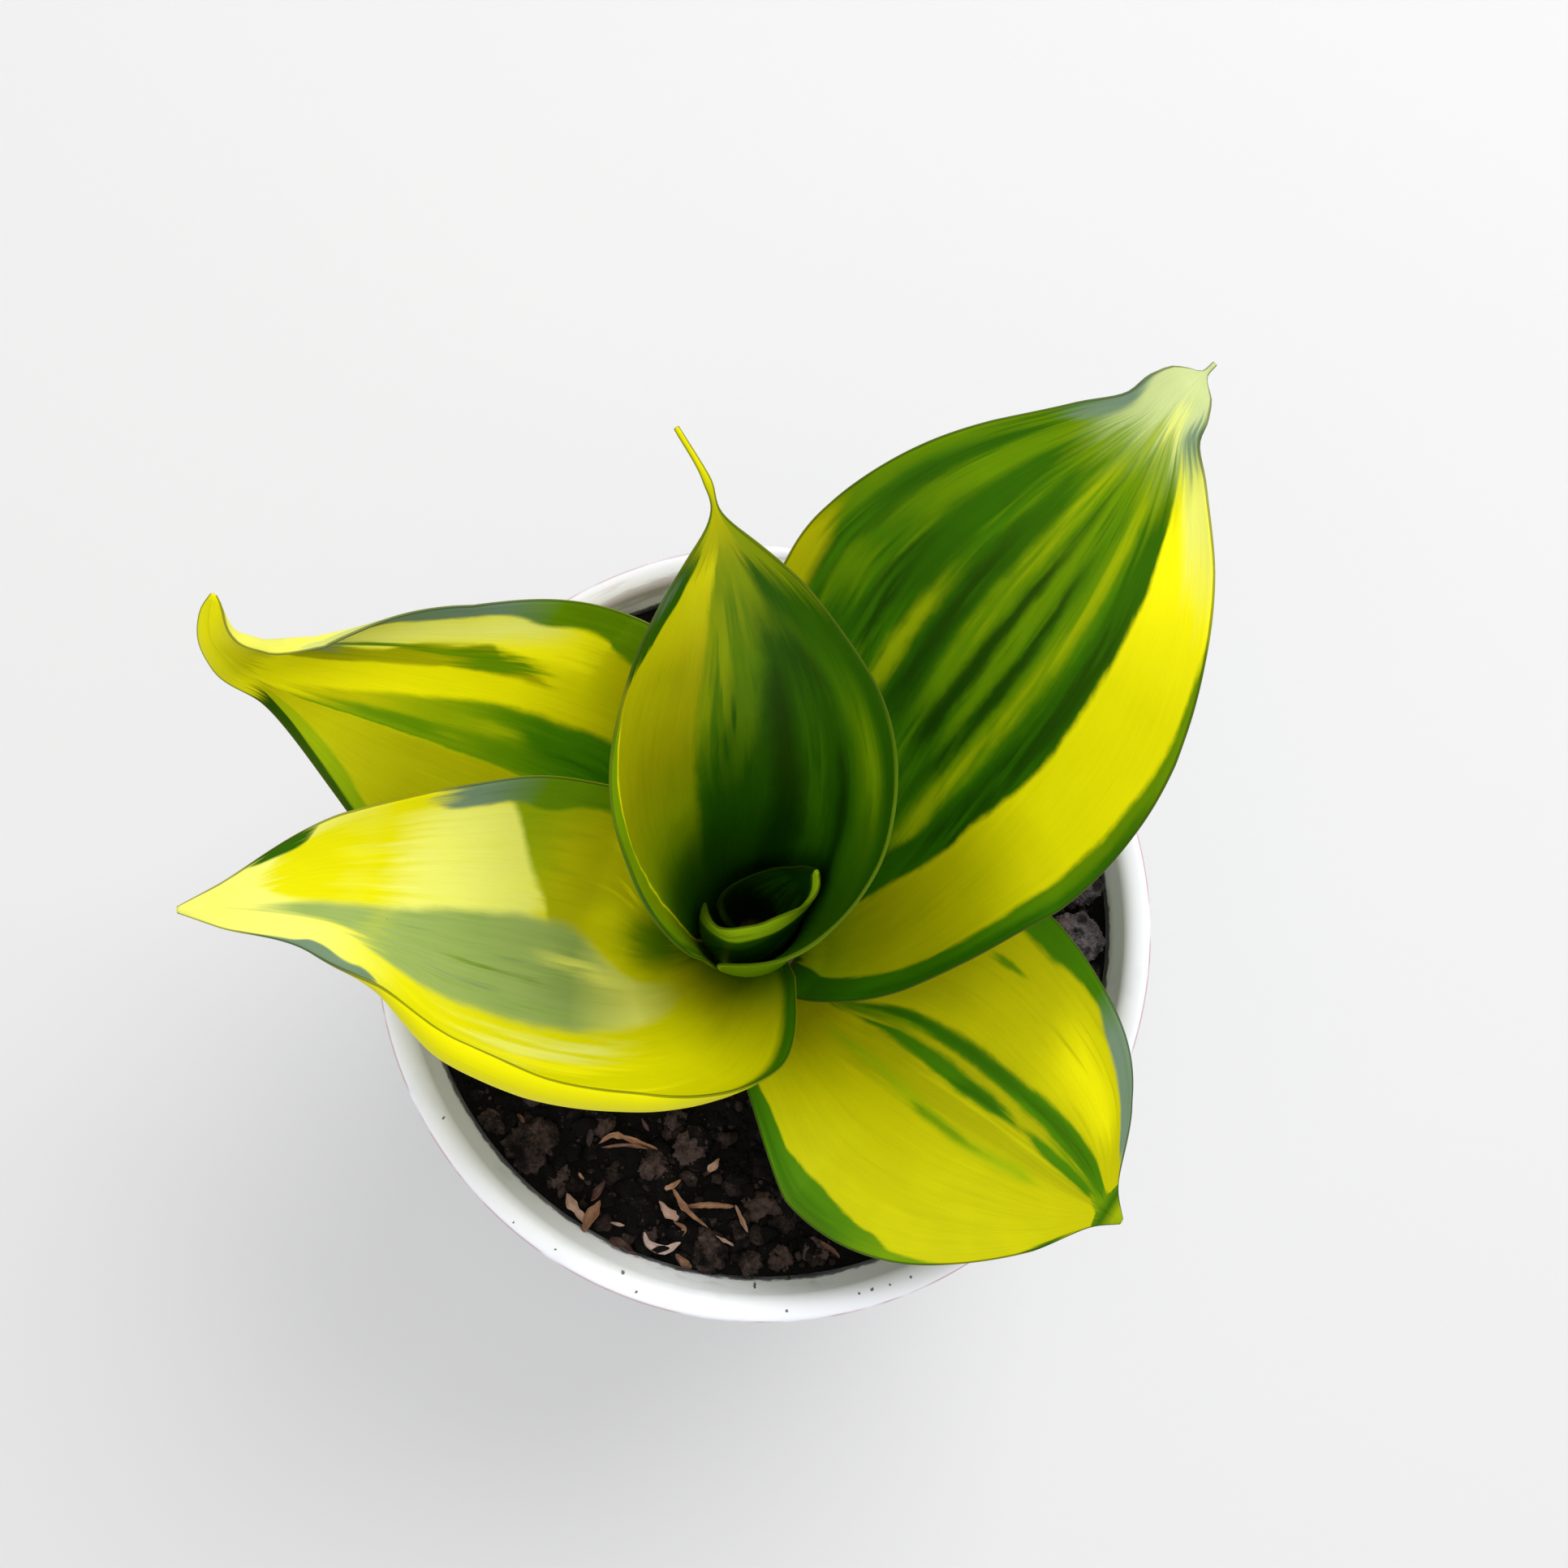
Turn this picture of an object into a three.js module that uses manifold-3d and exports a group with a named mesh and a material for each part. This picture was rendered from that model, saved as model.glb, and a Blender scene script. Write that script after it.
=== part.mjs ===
// A potted variegated snake plant of the short bird's nest kind: five broad channelled leaves and a
// young rolled one round a short crown, in bark and husk potting mix, in a round glazed pot.
// Millimetres, +Z up. The origin is the middle of the pot's foot, on the surface that it stands on.
// Heights of the plant are given above the pot's rim.

import * as THREE from "three";
import { mergeVertices } from "three/addons/utils/BufferGeometryUtils.js";
import Module from "manifold-3d";

const wasm = await Module();
wasm.setup();

const GAP = 0.3;

// The pot.
const POT_HEIGHT = 120;
const RIM_RADIUS = 70;
const LIP_WIDTH = 4.6;
const LIP_DEPTH = 4.4;
const LIP_EDGE = 1.2;
const FOOT_RADIUS = 50;
const WALL = 3.6;
const FLOOR = 6;
const FOOT_RING_WIDTH = 9;
const FOOT_BOSS_RADIUS = 14;
const FOOT_RECESS = 2;
const DRAIN_RADIUS = 4;
const DRAIN_CIRCLE = 26;
const DRAIN_COUNT = 4;
const POT_SEGMENTS = 48;

// The potting mix.
const SOIL_DEPTH = 14;
const SOIL_TOP = POT_HEIGHT - SOIL_DEPTH;
const SOIL_RINGS = 9;
const CLOD_COUNT = 22;
const HUSK_COUNT = 20;
const SPLINTER_COUNT = 6;
const BIT_SEED = 20;

// The larger clods that lie in sight in front: x, y and half size.
const FRONT_CLODS = [
  [-42.8, -39, 5],
  [-20.1, -43, 2.9],
  [-13, -39.7, 3.2],
  [-10.5, -58.6, 3.8],
  [-37.9, -45, 2.4],
  [-0.2, -51.5, 3.6],
  [-2.4, -60.8, 2.6],
  [3.2, -60.1, 2.4],
  [9.4, -58.9, 2.4],
  [-16.3, -35.2, 2.2],
  [-29.6, -35.9, 2.4],
  [-50, -35, 2.4],
];

// The husks, chips and splinters that lie in sight in front: x, y, heading, length and width.
const FRONT_BITS = [
  [-25.1, -38.2, -6, 11.2, 1.6],
  [-35.3, -50.6, -54, 5.4, 2.4],
  [-31.3, -52.1, 57, 6.3, 2.4],
  [-29.9, -47.6, 47, 5.2, 1.8],
  [-26, -56.6, -35, 6, 2.1],
  [-12.8, -50.9, -52, 8.3, 1.4],
  [-9.8, -50.4, 2, 8.6, 1.4],
  [-4.4, -52.2, -65, 6.2, 1.4],
  [-9.2, -43, 70, 3.2, 2.6],
  [-21.3, -55.6, -10, 4, 2.6],
  [-17.5, -51.8, -65, 5, 2.4],
  [-14.2, -60.4, -40, 4.4, 1.8],
];

// The crown, a short stem that stands in a plain hole in the mix and carries the leaves.
const CROWN_X = -2;
const CROWN_Y = 0;
const CROWN_RADIUS = 15.4;
const CROWN_LENGTH = 14;
const CROWN_TOP = SOIL_TOP - 2;
const HOLE_RADIUS = CROWN_RADIUS + 0.4;

// The leaves.
const LEAF_ROWS = 24;
const LEAF_COLUMNS = 6;
const LEAF_MIDDLE = 1.9;
const LEAF_MARGIN = 0.9;
const YOUNG_LEAF_MIDDLE = 1.4;
const LEAF_FOOT = CROWN_TOP + GAP - POT_HEIGHT;

// A closed solid from a geometry: shared corners are merged and collapsed triangles dropped.
function solid(geometry) {
  const bare = geometry.clone();
  bare.deleteAttribute("normal");
  bare.deleteAttribute("uv");
  const merged = mergeVertices(bare, 1e-4);
  const index = merged.index.array;
  const kept = [];
  for (let i = 0; i < index.length; i += 3) {
    const [a, b, c] = [index[i], index[i + 1], index[i + 2]];
    if (a !== b && b !== c && a !== c) kept.push(a, b, c);
  }
  const mesh = new wasm.Mesh({
    numProp: 3,
    vertProperties: merged.attributes.position.array,
    triVerts: new Uint32Array(kept),
  });
  return new wasm.Manifold(mesh);
}

function geometryOf(body) {
  const mesh = body.getMesh();
  const geometry = new THREE.BufferGeometry();
  geometry.setAttribute("position", new THREE.BufferAttribute(mesh.vertProperties, 3));
  geometry.setIndex(new THREE.BufferAttribute(mesh.triVerts, 1));
  return geometry;
}

function geometryFrom(corners, triangles) {
  const geometry = new THREE.BufferGeometry();
  geometry.setAttribute("position", new THREE.Float32BufferAttribute(corners.flat(), 3));
  geometry.setIndex(triangles.flat());
  return geometry;
}

// A body of revolution about the pot's axis from (radius, height) pairs.
function turned(profile, segments) {
  const outline = profile.map(([radius, height]) => new THREE.Vector2(radius, height));
  return new THREE.LatheGeometry(outline, segments).rotateX(Math.PI / 2);
}

// Repeatable random numbers from 0 to 1.
function randomFrom(seed) {
  let state = seed;
  return () => {
    state = (state * 1664525 + 1013904223) % 4294967296;
    return state / 4294967296;
  };
}

const root = new THREE.Group();

function addPiece(name, geometry, color, roughness) {
  const material = new THREE.MeshStandardMaterial({ color, roughness, metalness: 0 });
  const mesh = new THREE.Mesh(geometry, material);
  mesh.name = name;
  root.add(mesh);
}

// The pot: a tapered wall with a broad rounded lip that slopes inwards, a foot ring with a recess
// inside it, a flat boss in the middle of the foot, and drain holes through the floor.
function outerRadius(height) {
  return FOOT_RADIUS + ((RIM_RADIUS - FOOT_RADIUS) * height) / POT_HEIGHT;
}

function innerRadius(height) {
  return outerRadius(height) - WALL;
}

function makePot() {
  const crest = RIM_RADIUS - LIP_EDGE;
  const inward = LIP_WIDTH - LIP_EDGE;
  const profile = [
    [0, 0],
    [FOOT_BOSS_RADIUS, 0],
    [FOOT_BOSS_RADIUS + 1, FOOT_RECESS],
    [FOOT_RADIUS - FOOT_RING_WIDTH - 1, FOOT_RECESS],
    [FOOT_RADIUS - FOOT_RING_WIDTH, 0],
    [FOOT_RADIUS - 1.2, 0],
    [outerRadius(1.2), 1.2],
    [outerRadius(POT_HEIGHT / 2), POT_HEIGHT / 2],
  ];
  for (const angle of [0, 45, 90]) {
    const turn = THREE.MathUtils.degToRad(angle);
    const drop = LIP_EDGE * (1 - Math.sin(turn));
    profile.push([crest + LIP_EDGE * Math.cos(turn), POT_HEIGHT - drop]);
  }
  for (const angle of [30, 60, 90]) {
    const turn = THREE.MathUtils.degToRad(angle);
    const drop = LIP_DEPTH * (1 - Math.cos(turn));
    profile.push([crest - inward * Math.sin(turn), POT_HEIGHT - drop]);
  }
  profile.push([innerRadius(SOIL_TOP), SOIL_TOP]);
  profile.push([innerRadius(FLOOR + 4), FLOOR + 4]);
  profile.push([innerRadius(FLOOR) - 4, FLOOR]);
  profile.push([0, FLOOR]);
  let pot = solid(turned(profile, POT_SEGMENTS));
  for (let k = 0; k < DRAIN_COUNT; k++) {
    const turn = (2 * Math.PI * (k + 0.5)) / DRAIN_COUNT;
    const drill = new THREE.CylinderGeometry(DRAIN_RADIUS, DRAIN_RADIUS, 4 * FLOOR, 20);
    drill.rotateX(Math.PI / 2);
    drill.translate(DRAIN_CIRCLE * Math.cos(turn), DRAIN_CIRCLE * Math.sin(turn), 0);
    pot = pot.subtract(solid(drill));
  }
  addPiece("pot", geometryOf(pot), 0xe9eef2, 0.3);
}

// The two grey porous chunks that lie on the mix by the right wall: middle, then half sizes.
const CHUNKS = [
  { x: 57.2, y: -1.8, size: [5.6, 4.6, 3.4], turn: 0.5 },
  { x: 58.2, y: 8.6, size: [4.2, 3.6, 2.8], turn: -0.3 },
];

// How far the mix stands above its level at a place. It is level round the crown's hole.
function relief(x, y) {
  const broad = 0.8 * Math.sin(0.16 * x + 1.3) * Math.cos(0.19 * y - 0.4);
  const fine = 0.55 * Math.sin(0.47 * x - 0.35 * y) + 0.45 * Math.cos(0.4 * x + 0.58 * y + 2);
  const fromCrown = Math.hypot(x - CROWN_X, y - CROWN_Y) - HOLE_RADIUS;
  return (broad + fine) * THREE.MathUtils.smoothstep(fromCrown, 0, 6);
}

// A lump with a few flat sides: an icosahedron pressed to three half sizes, with uneven corners.
function lump(sizes, detail, unevenness, random) {
  const geometry = new THREE.IcosahedronGeometry(1, detail);
  geometry.deleteAttribute("normal");
  geometry.deleteAttribute("uv");
  const merged = mergeVertices(geometry, 1e-4);
  const place = merged.attributes.position;
  for (let i = 0; i < place.count; i++) {
    const swell = 1 + unevenness * (2 * random() - 1);
    place.setXYZ(
      i,
      place.getX(i) * sizes[0] * swell,
      place.getY(i) * sizes[1] * swell,
      place.getZ(i) * sizes[2] * swell,
    );
  }
  return merged;
}

// A rice husk or a sliver of wood: a flat six-sided spindle that lies along x.
function sliver(length, width, thickness) {
  const geometry = new THREE.SphereGeometry(1, 6, 2);
  geometry.rotateZ(Math.PI / 2);
  geometry.scale(length / 2, width / 2, thickness / 2);
  return geometry;
}

// Whether a place on the mix is clear of the crown's hole, the wall, the chunks and the front bits.
function isFree(x, y, reach) {
  if (Math.hypot(x - CROWN_X, y - CROWN_Y) < HOLE_RADIUS + 5 + reach) return false;
  if (Math.hypot(x, y) > innerRadius(SOIL_TOP) - 1.2 - reach) return false;
  if (FRONT_BITS.some((bit) => Math.hypot(x - bit[0], y - bit[1]) < 3 + reach)) return false;
  if (FRONT_CLODS.some((clod) => Math.hypot(x - clod[0], y - clod[1]) < clod[2] + reach)) return false;
  return CHUNKS.every((chunk) => Math.hypot(x - chunk.x, y - chunk.y) > chunk.size[0] + 2 + reach);
}

// Free places strewn over the mix, each with a heading in degrees and two more random numbers.
function strewn(count, reach, random) {
  const places = [];
  while (places.length < count) {
    const distance = innerRadius(SOIL_TOP) * Math.sqrt(random());
    const turn = 2 * Math.PI * random();
    const x = distance * Math.cos(turn);
    const y = distance * Math.sin(turn);
    if (isFree(x, y, reach)) places.push([x, y, 180 * random(), random(), random()]);
  }
  return places;
}

// The mix: a body that fills the pot to below its rim, with an uneven top and a plain hole for the
// crown, and clods, husks and slivers of wood sunk into the top, trimmed where they meet the pot.
function makeSoil() {
  const edge = innerRadius(SOIL_TOP) - GAP;
  const floor = FLOOR + GAP;
  const corners = [];
  const triangles = [];
  const ring = (radius, height, cx = 0, cy = 0) => {
    const first = corners.length;
    for (let k = 0; k < POT_SEGMENTS; k++) {
      const turn = (2 * Math.PI * k) / POT_SEGMENTS;
      const x = cx + radius * Math.cos(turn);
      const y = cy + radius * Math.sin(turn);
      corners.push([x, y, typeof height === "function" ? height(x, y) : height]);
    }
    return first;
  };
  const join = (lower, upper) => {
    for (let k = 0; k < POT_SEGMENTS; k++) {
      const next = (k + 1) % POT_SEGMENTS;
      triangles.push([lower + k, lower + next, upper + next]);
      triangles.push([lower + k, upper + next, upper + k]);
    }
  };
  const cap = (first, height, cx, cy, up) => {
    const middle = corners.push([cx, cy, height]) - 1;
    for (let k = 0; k < POT_SEGMENTS; k++) {
      const next = first + ((k + 1) % POT_SEGMENTS);
      triangles.push(up ? [middle, first + k, next] : [middle, next, first + k]);
    }
  };
  const surface = (x, y) => SOIL_TOP + relief(x, y);
  const bottom = ring(innerRadius(FLOOR) - 4 - GAP, floor);
  cap(bottom, floor, 0, 0, false);
  let last = bottom;
  const corner = ring(innerRadius(FLOOR + 4) - GAP, FLOOR + 4 + GAP);
  join(last, corner);
  last = ring(edge, SOIL_TOP - 1);
  join(corner, last);
  for (let k = 0; k <= SOIL_RINGS; k++) {
    const share = k / SOIL_RINGS;
    const radius = THREE.MathUtils.lerp(edge - 0.4, HOLE_RADIUS, share);
    const next = ring(radius, surface, CROWN_X * share, CROWN_Y * share);
    join(last, next);
    last = next;
  }
  const holeFoot = CROWN_TOP - CROWN_LENGTH - GAP;
  const hole = ring(HOLE_RADIUS, holeFoot, CROWN_X, CROWN_Y);
  join(last, hole);
  cap(hole, holeFoot, CROWN_X, CROWN_Y, true);
  let soil = solid(geometryFrom(corners, triangles));

  const placing = randomFrom(BIT_SEED);
  const mix = THREE.MathUtils.lerp;
  const clods = FRONT_CLODS.map(([x, y, size]) => [x, y, 40 * x, size, 0.5]);
  for (const [x, y, heading, a, b] of strewn(CLOD_COUNT, 3.4, placing)) {
    clods.push([x, y, heading, mix(1.8, 4.4, a), b]);
  }
  const bits = [...FRONT_BITS];
  for (const [x, y, heading, a, b] of strewn(HUSK_COUNT, 3, placing)) {
    bits.push([x, y, heading, mix(4.5, 6.5, a), mix(1.8, 2.6, b)]);
  }
  for (const [x, y, heading, a] of strewn(SPLINTER_COUNT, 5, placing)) {
    bits.push([x, y, heading, mix(8, 11, a), 1.5]);
  }
  const shaping = randomFrom(BIT_SEED + 1);
  const solids = clods.map(([x, y, heading, size, flatness]) => {
    const sizes = [size, size * mix(0.7, 1, flatness), size * mix(0.5, 0.7, flatness)];
    const clod = lump(sizes, 0, 0.14, shaping);
    clod.rotateZ(THREE.MathUtils.degToRad(heading));
    return solid(clod.translate(x, y, surface(x, y)));
  });
  for (const [x, y, heading, length, width] of bits) {
    const bit = sliver(length, width, 1.8);
    bit.rotateZ(THREE.MathUtils.degToRad(heading));
    solids.push(solid(bit.translate(x, y, surface(x, y))));
  }
  const within = new THREE.CylinderGeometry(edge, edge, 4 * SOIL_TOP, POT_SEGMENTS);
  within.rotateX(Math.PI / 2);
  for (const bit of solids) {
    const joined = soil.add(bit.intersect(solid(within)));
    if (joined.decompose().length === 1) soil = joined;
  }
  addPiece("soil", geometryOf(soil), 0x1c1512, 0.95);
  return soil;
}

// Each chunk lies on the mix, with its foot fitted to the uneven top.
function makeChunks(soil) {
  const bed = soil.translate([0, 0, GAP]);
  CHUNKS.forEach((chunk, k) => {
    const random = randomFrom(7 + k);
    const geometry = lump(chunk.size, 1, 0.09, random);
    geometry.rotateZ(chunk.turn);
    geometry.translate(chunk.x, chunk.y, SOIL_TOP + 0.55 * chunk.size[2]);
    addPiece("porous_chunk_" + (k + 1), geometryOf(solid(geometry).subtract(bed)), 0x636063, 0.95);
  });
}

function makeCrown() {
  const foot = CROWN_TOP - CROWN_LENGTH;
  const crown = turned(
    [
      [0, foot],
      [CROWN_RADIUS - 4, foot],
      [CROWN_RADIUS - 1, foot + 3],
      [CROWN_RADIUS, foot + 8],
      [CROWN_RADIUS, CROWN_TOP],
      [0, CROWN_TOP],
    ],
    32,
  ).translate(CROWN_X, CROWN_Y, 0);
  addPiece("crown", geometryOf(solid(crown)), 0x9a9a52, 0.7);
}

// One station of a leaf: its share of the leaf's length, the place of the middle line with its
// height above the rim, the way that the leaf leans, then for the left and the right half the
// width, the turn of the section from the middle line to the margin, and an extra turn that only
// sets in near the margin. Angles are in degrees, and left is as seen looking out along the leaf.
function station(share, x, y, height, lean, width, cup, curl = [0, 0]) {
  return [share, x, y, POT_HEIGHT + height, lean, ...width, ...cup, ...curl];
}

// A station where the section is part of a circle about the plant's axis, as at the leaf's foot.
function clasp(share, height, lean, radius, wraps, x = CROWN_X, y = CROWN_Y) {
  const turn = THREE.MathUtils.degToRad(lean);
  const widths = wraps.map((wrap) => radius * THREE.MathUtils.degToRad(wrap));
  const middle = [x + radius * Math.cos(turn), y + radius * Math.sin(turn)];
  return station(share, ...middle, height, lean, widths, wraps);
}

// The values between stations, on a smooth curve through them.
function valuesAt(stations, share) {
  const last = stations.length - 1;
  const slope = (i, column) => {
    const rise = (a, b) => (stations[b][column] - stations[a][column]) / (stations[b][0] - stations[a][0]);
    if (i === 0) return rise(0, 1);
    if (i === last) return rise(last - 1, last);
    const weight = (stations[i + 1][0] - stations[i][0]) / (stations[i + 1][0] - stations[i - 1][0]);
    return rise(i - 1, i) * weight + rise(i, i + 1) * (1 - weight);
  };
  let i = 0;
  while (i < last - 1 && share > stations[i + 1][0]) i++;
  const span = stations[i + 1][0] - stations[i][0];
  const u = (share - stations[i][0]) / span;
  return stations[i].slice(1).map((value, k) => {
    const end = stations[i + 1][k + 1];
    const start = (2 * u ** 3 - 3 * u ** 2 + 1) * value + (3 * u ** 2 - 2 * u ** 3) * end;
    const into = (u ** 3 - 2 * u ** 2 + u) * span * slope(i, k + 1);
    return start + into + (u ** 3 - u ** 2) * span * slope(i + 1, k + 1);
  });
}

// One row of a leaf's middle surface, from the left margin to the right margin.
function leafRow(stations, share, columns) {
  const values = valuesAt(stations, share);
  const middle = new THREE.Vector3(values[0], values[1], values[2]);
  const before = valuesAt(stations, Math.max(share - 0.001, 0));
  const after = valuesAt(stations, Math.min(share + 0.001, 1));
  const tangent = new THREE.Vector3(
    after[0] - before[0],
    after[1] - before[1],
    after[2] - before[2],
  ).normalize();
  const lean = THREE.MathUtils.degToRad(values[3]);
  const across = new THREE.Vector3(-Math.sin(lean), Math.cos(lean), 0);
  across.addScaledVector(tangent, -across.dot(tangent)).normalize();
  const upward = new THREE.Vector3().crossVectors(tangent, across);
  const half = (side, width, cup, curl) => {
    const points = [];
    const place = middle.clone();
    const steps = 4 * columns;
    for (let k = 0; k < steps; k++) {
      const u = (k + 0.5) / steps;
      const turn = THREE.MathUtils.degToRad(cup * u + curl * u ** 4);
      const step = Math.max(width, 0.4) / steps;
      place.addScaledVector(across, side * Math.cos(turn) * step);
      place.addScaledVector(upward, Math.sin(turn) * step);
      if (k % 4 === 3) points.push(place.clone());
    }
    return points;
  };
  const left = half(1, values[4], values[6], values[8]);
  const right = half(-1, values[5], values[7], values[9]);
  return [...left.reverse(), middle, ...right];
}

// A leaf: two faces alike on either side of its middle surface, joined round the margins, foot and
// tip. It is thickest along the middle and thins to the margins.
function makeLeaf(name, stations, middleThickness, color) {
  const rows = [];
  for (let i = 0; i <= LEAF_ROWS; i++) rows.push(leafRow(stations, i / LEAF_ROWS, LEAF_COLUMNS));
  const wide = 2 * LEAF_COLUMNS + 1;
  const corners = [];
  const count = rows.length * wide;
  for (const face of [1, -1]) {
    for (let i = 0; i < rows.length; i++) {
      for (let j = 0; j < wide; j++) {
        const along = rows[Math.min(i + 1, LEAF_ROWS)][j].clone().sub(rows[Math.max(i - 1, 0)][j]);
        const over = rows[i][Math.max(j - 1, 0)].clone().sub(rows[i][Math.min(j + 1, wide - 1)]);
        const normal = along.cross(over).normalize();
        const u = (j - LEAF_COLUMNS) / LEAF_COLUMNS;
        const thickness = THREE.MathUtils.lerp(middleThickness, LEAF_MARGIN, u * u);
        const corner = rows[i][j].clone().addScaledVector(normal, (face * thickness) / 2);
        corners.push(corner.toArray());
      }
    }
  }
  const triangles = [];
  const quad = (a, b, c, d) => triangles.push([a, b, c], [a, c, d]);
  const under = (corner) => corner + count;
  for (let i = 0; i < LEAF_ROWS; i++) {
    for (let j = 0; j < wide - 1; j++) {
      const a = i * wide + j;
      quad(a, a + 1, a + wide + 1, a + wide);
      triangles.push([under(a), under(a + wide + 1), under(a + 1)]);
      triangles.push([under(a), under(a + wide), under(a + wide + 1)]);
    }
    const left = i * wide;
    const right = left + wide - 1;
    quad(left, left + wide, under(left + wide), under(left));
    quad(right, under(right), under(right + wide), right + wide);
  }
  for (let j = 0; j < wide - 1; j++) {
    const tip = LEAF_ROWS * wide + j;
    quad(j, under(j), under(j + 1), j + 1);
    quad(tip, tip + 1, under(tip + 1), under(tip));
  }
  addPiece(name, geometryOf(solid(geometryFrom(corners, triangles))), color, 0.35);
}

// The leaves, from the youngest in the middle to the oldest and lowest.
const YOUNG_LEAF = [
  clasp(0, LEAF_FOOT, 31, 3, [155, 155]),
  clasp(0.08, LEAF_FOOT + 4, 31, 3.1, [150, 165]),
  clasp(0.3, 0, 31, 5.2, [135, 200], -2.6, 1),
  station(0.54, 2.6, 5.4, 11, 31, [10.5, 30.5], [95, 235]),
  station(0.66, 4.3, 7.4, 17, 31, [6.8, 24], [75, 184]),
  station(0.78, 6.2, 8.8, 23, 31, [4.4, 15.8], [65, 152]),
  station(0.88, 7.7, 9.4, 28, 31, [3, 8.6], [60, 118]),
  station(1, 8.9, 9.9, 34, 31, [0.6, 0.6], [0, 0]),
];
const FUNNEL_LEAF = [
  clasp(0, LEAF_FOOT, 92, 5.4, [140, 160]),
  clasp(0.04, LEAF_FOOT + 5, 92, 5.6, [142, 170]),
  clasp(0.13, 0, 92, 8.8, [146, 192], -2.6, 0.2),
  station(0.26, -3.7, 14.6, 15, 92, [30, 40.6], [147, 204]),
  station(0.38, -2.2, 21.4, 30, 94, [37.9, 41.8], [133, 163]),
  station(0.55, -2.5, 33.3, 52, 95, [39.9, 39.7], [110, 113]),
  station(0.7, -3.6, 44.3, 70, 96, [26, 27.5], [70, 75]),
  station(0.82, -5.5, 53.8, 86, 98, [12, 12], [55, 55]),
  station(0.88, -6.7, 58.9, 95, 104, [1.6, 1.6], [40, 40]),
  station(0.94, -8.2, 64.1, 99, 112, [0.6, 0.6], [20, 20]),
  station(1, -12.3, 70.6, 103, 120, [0.4, 0.4], [0, 0]),
];
const LOWER_LEFT_LEAF = [
  clasp(0, LEAF_FOOT, 212, 7.6, [110, 100]),
  clasp(0.03, LEAF_FOOT + 4, 212, 7.9, [110, 100]),
  clasp(0.1, -2, 212, 11.7, [108, 72]),
  station(0.22, -20.1, -9.7, 11, 204, [34.5, 25], [92, 75]),
  station(0.38, -32, -9, 22, 194, [33.5, 36], [45, 65], [100, 0]),
  station(0.5, -42.1, -6.3, 29.5, 187, [31.6, 36.2], [38, 57], [125, 0]),
  station(0.6, -51.3, -3.8, 35, 182, [26.3, 33.5], [30, 50], [160, 0]),
  station(0.7, -61.8, -0.8, 39.3, 179, [12.3, 27], [25, 45], [120, 0]),
  station(0.8, -72.9, 2, 42, 178, [5.6, 18.5], [20, 40]),
  station(0.93, -88.4, 3.8, 44, 178, [3.2, 3.8], [20, 20]),
  station(1, -95.2, 3.4, 44, 178, [0.5, 0.5], [0, 0]),
];
const RIGHT_LEAF = [
  clasp(0, LEAF_FOOT, 25, 9.9, [74, 98]),
  clasp(0.03, LEAF_FOOT + 4, 25, 10.2, [74, 98]),
  clasp(0.1, -4, 28, 14.2, [54, 96]),
  station(0.24, 19.1, 15.2, 13, 35, [28, 31.2], [66, 72]),
  station(0.42, 28.6, 31.1, 30, 43, [36, 38.5], [50, 50]),
  station(0.62, 42.2, 49.8, 46, 50, [38.5, 34.8], [35, 35]),
  station(0.8, 55.6, 68.3, 55, 54, [24.2, 20.4], [35, 35]),
  station(0.86, 60.6, 75.8, 56, 54, [14.8, 12.3], [40, 40]),
  station(0.9, 63.9, 80.7, 56, 54, [8.8, 7], [50, 50]),
  station(0.93, 66.5, 84.4, 56, 53, [7.2, 5.6], [50, 40]),
  station(0.95, 68.3, 86.7, 56, 52, [5, 4], [40, 35]),
  station(0.965, 69.6, 88.2, 55.5, 52, [2.4, 1.9], [25, 25]),
  station(0.975, 70.4, 89, 55, 52, [0.9, 0.9], [15, 15]),
  station(1, 72.4, 90.9, 55, 52, [0.4, 0.4], [0, 0]),
];
const UPPER_LEFT_LEAF = [
  clasp(0, LEAF_FOOT, 160, 12, [80, 62]),
  clasp(0.03, LEAF_FOOT + 4, 160, 12.2, [80, 62]),
  clasp(0.1, -5, 160, 16.8, [70, 60]),
  station(0.24, -27.5, 19.7, 7, 161, [22, 33], [40, 65]),
  station(0.42, -41, 26.3, 18, 163, [24, 35.6], [20, 50]),
  station(0.62, -60.4, 33.3, 30, 164, [20, 25.6], [22, 45]),
  station(0.8, -80.7, 40.1, 42, 158, [3.3, 15.8], [10, 75], [0, 55]),
  station(0.89, -86.2, 43.7, 50, 142, [3, 9.6], [-30, 75], [0, 80]),
  station(0.95, -87.9, 47.6, 56, 112, [1.9, 6], [-30, 60], [0, 80]),
  station(0.98, -87.1, 50.6, 59, 90, [1.4, 3], [-10, 40], [0, 60]),
  station(1, -86.2, 52.6, 61, 80, [0.5, 0.5], [0, 0]),
];
const LOWER_RIGHT_LEAF = [
  clasp(0, LEAF_FOOT, 306, 14.1, [80, 68]),
  clasp(0.05, LEAF_FOOT + 3.5, 306, 14.3, [80, 68]),
  clasp(0.13, -8, 307, 19, [66, 56]),
  station(0.4, 24.5, -25, 3, 315, [38.6, 32.4], [35, 35]),
  station(0.65, 41.2, -36, 10, 318, [33, 27.8], [25, 25]),
  station(0.85, 53.7, -44.9, 12, 320, [18.6, 13], [20, 20]),
  station(0.95, 59.3, -48.7, 12, 320, [4.6, 3.1], [20, 20]),
  station(1, 62.4, -50.6, 12, 350, [0.5, 0.5], [0, 0]),
];

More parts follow.
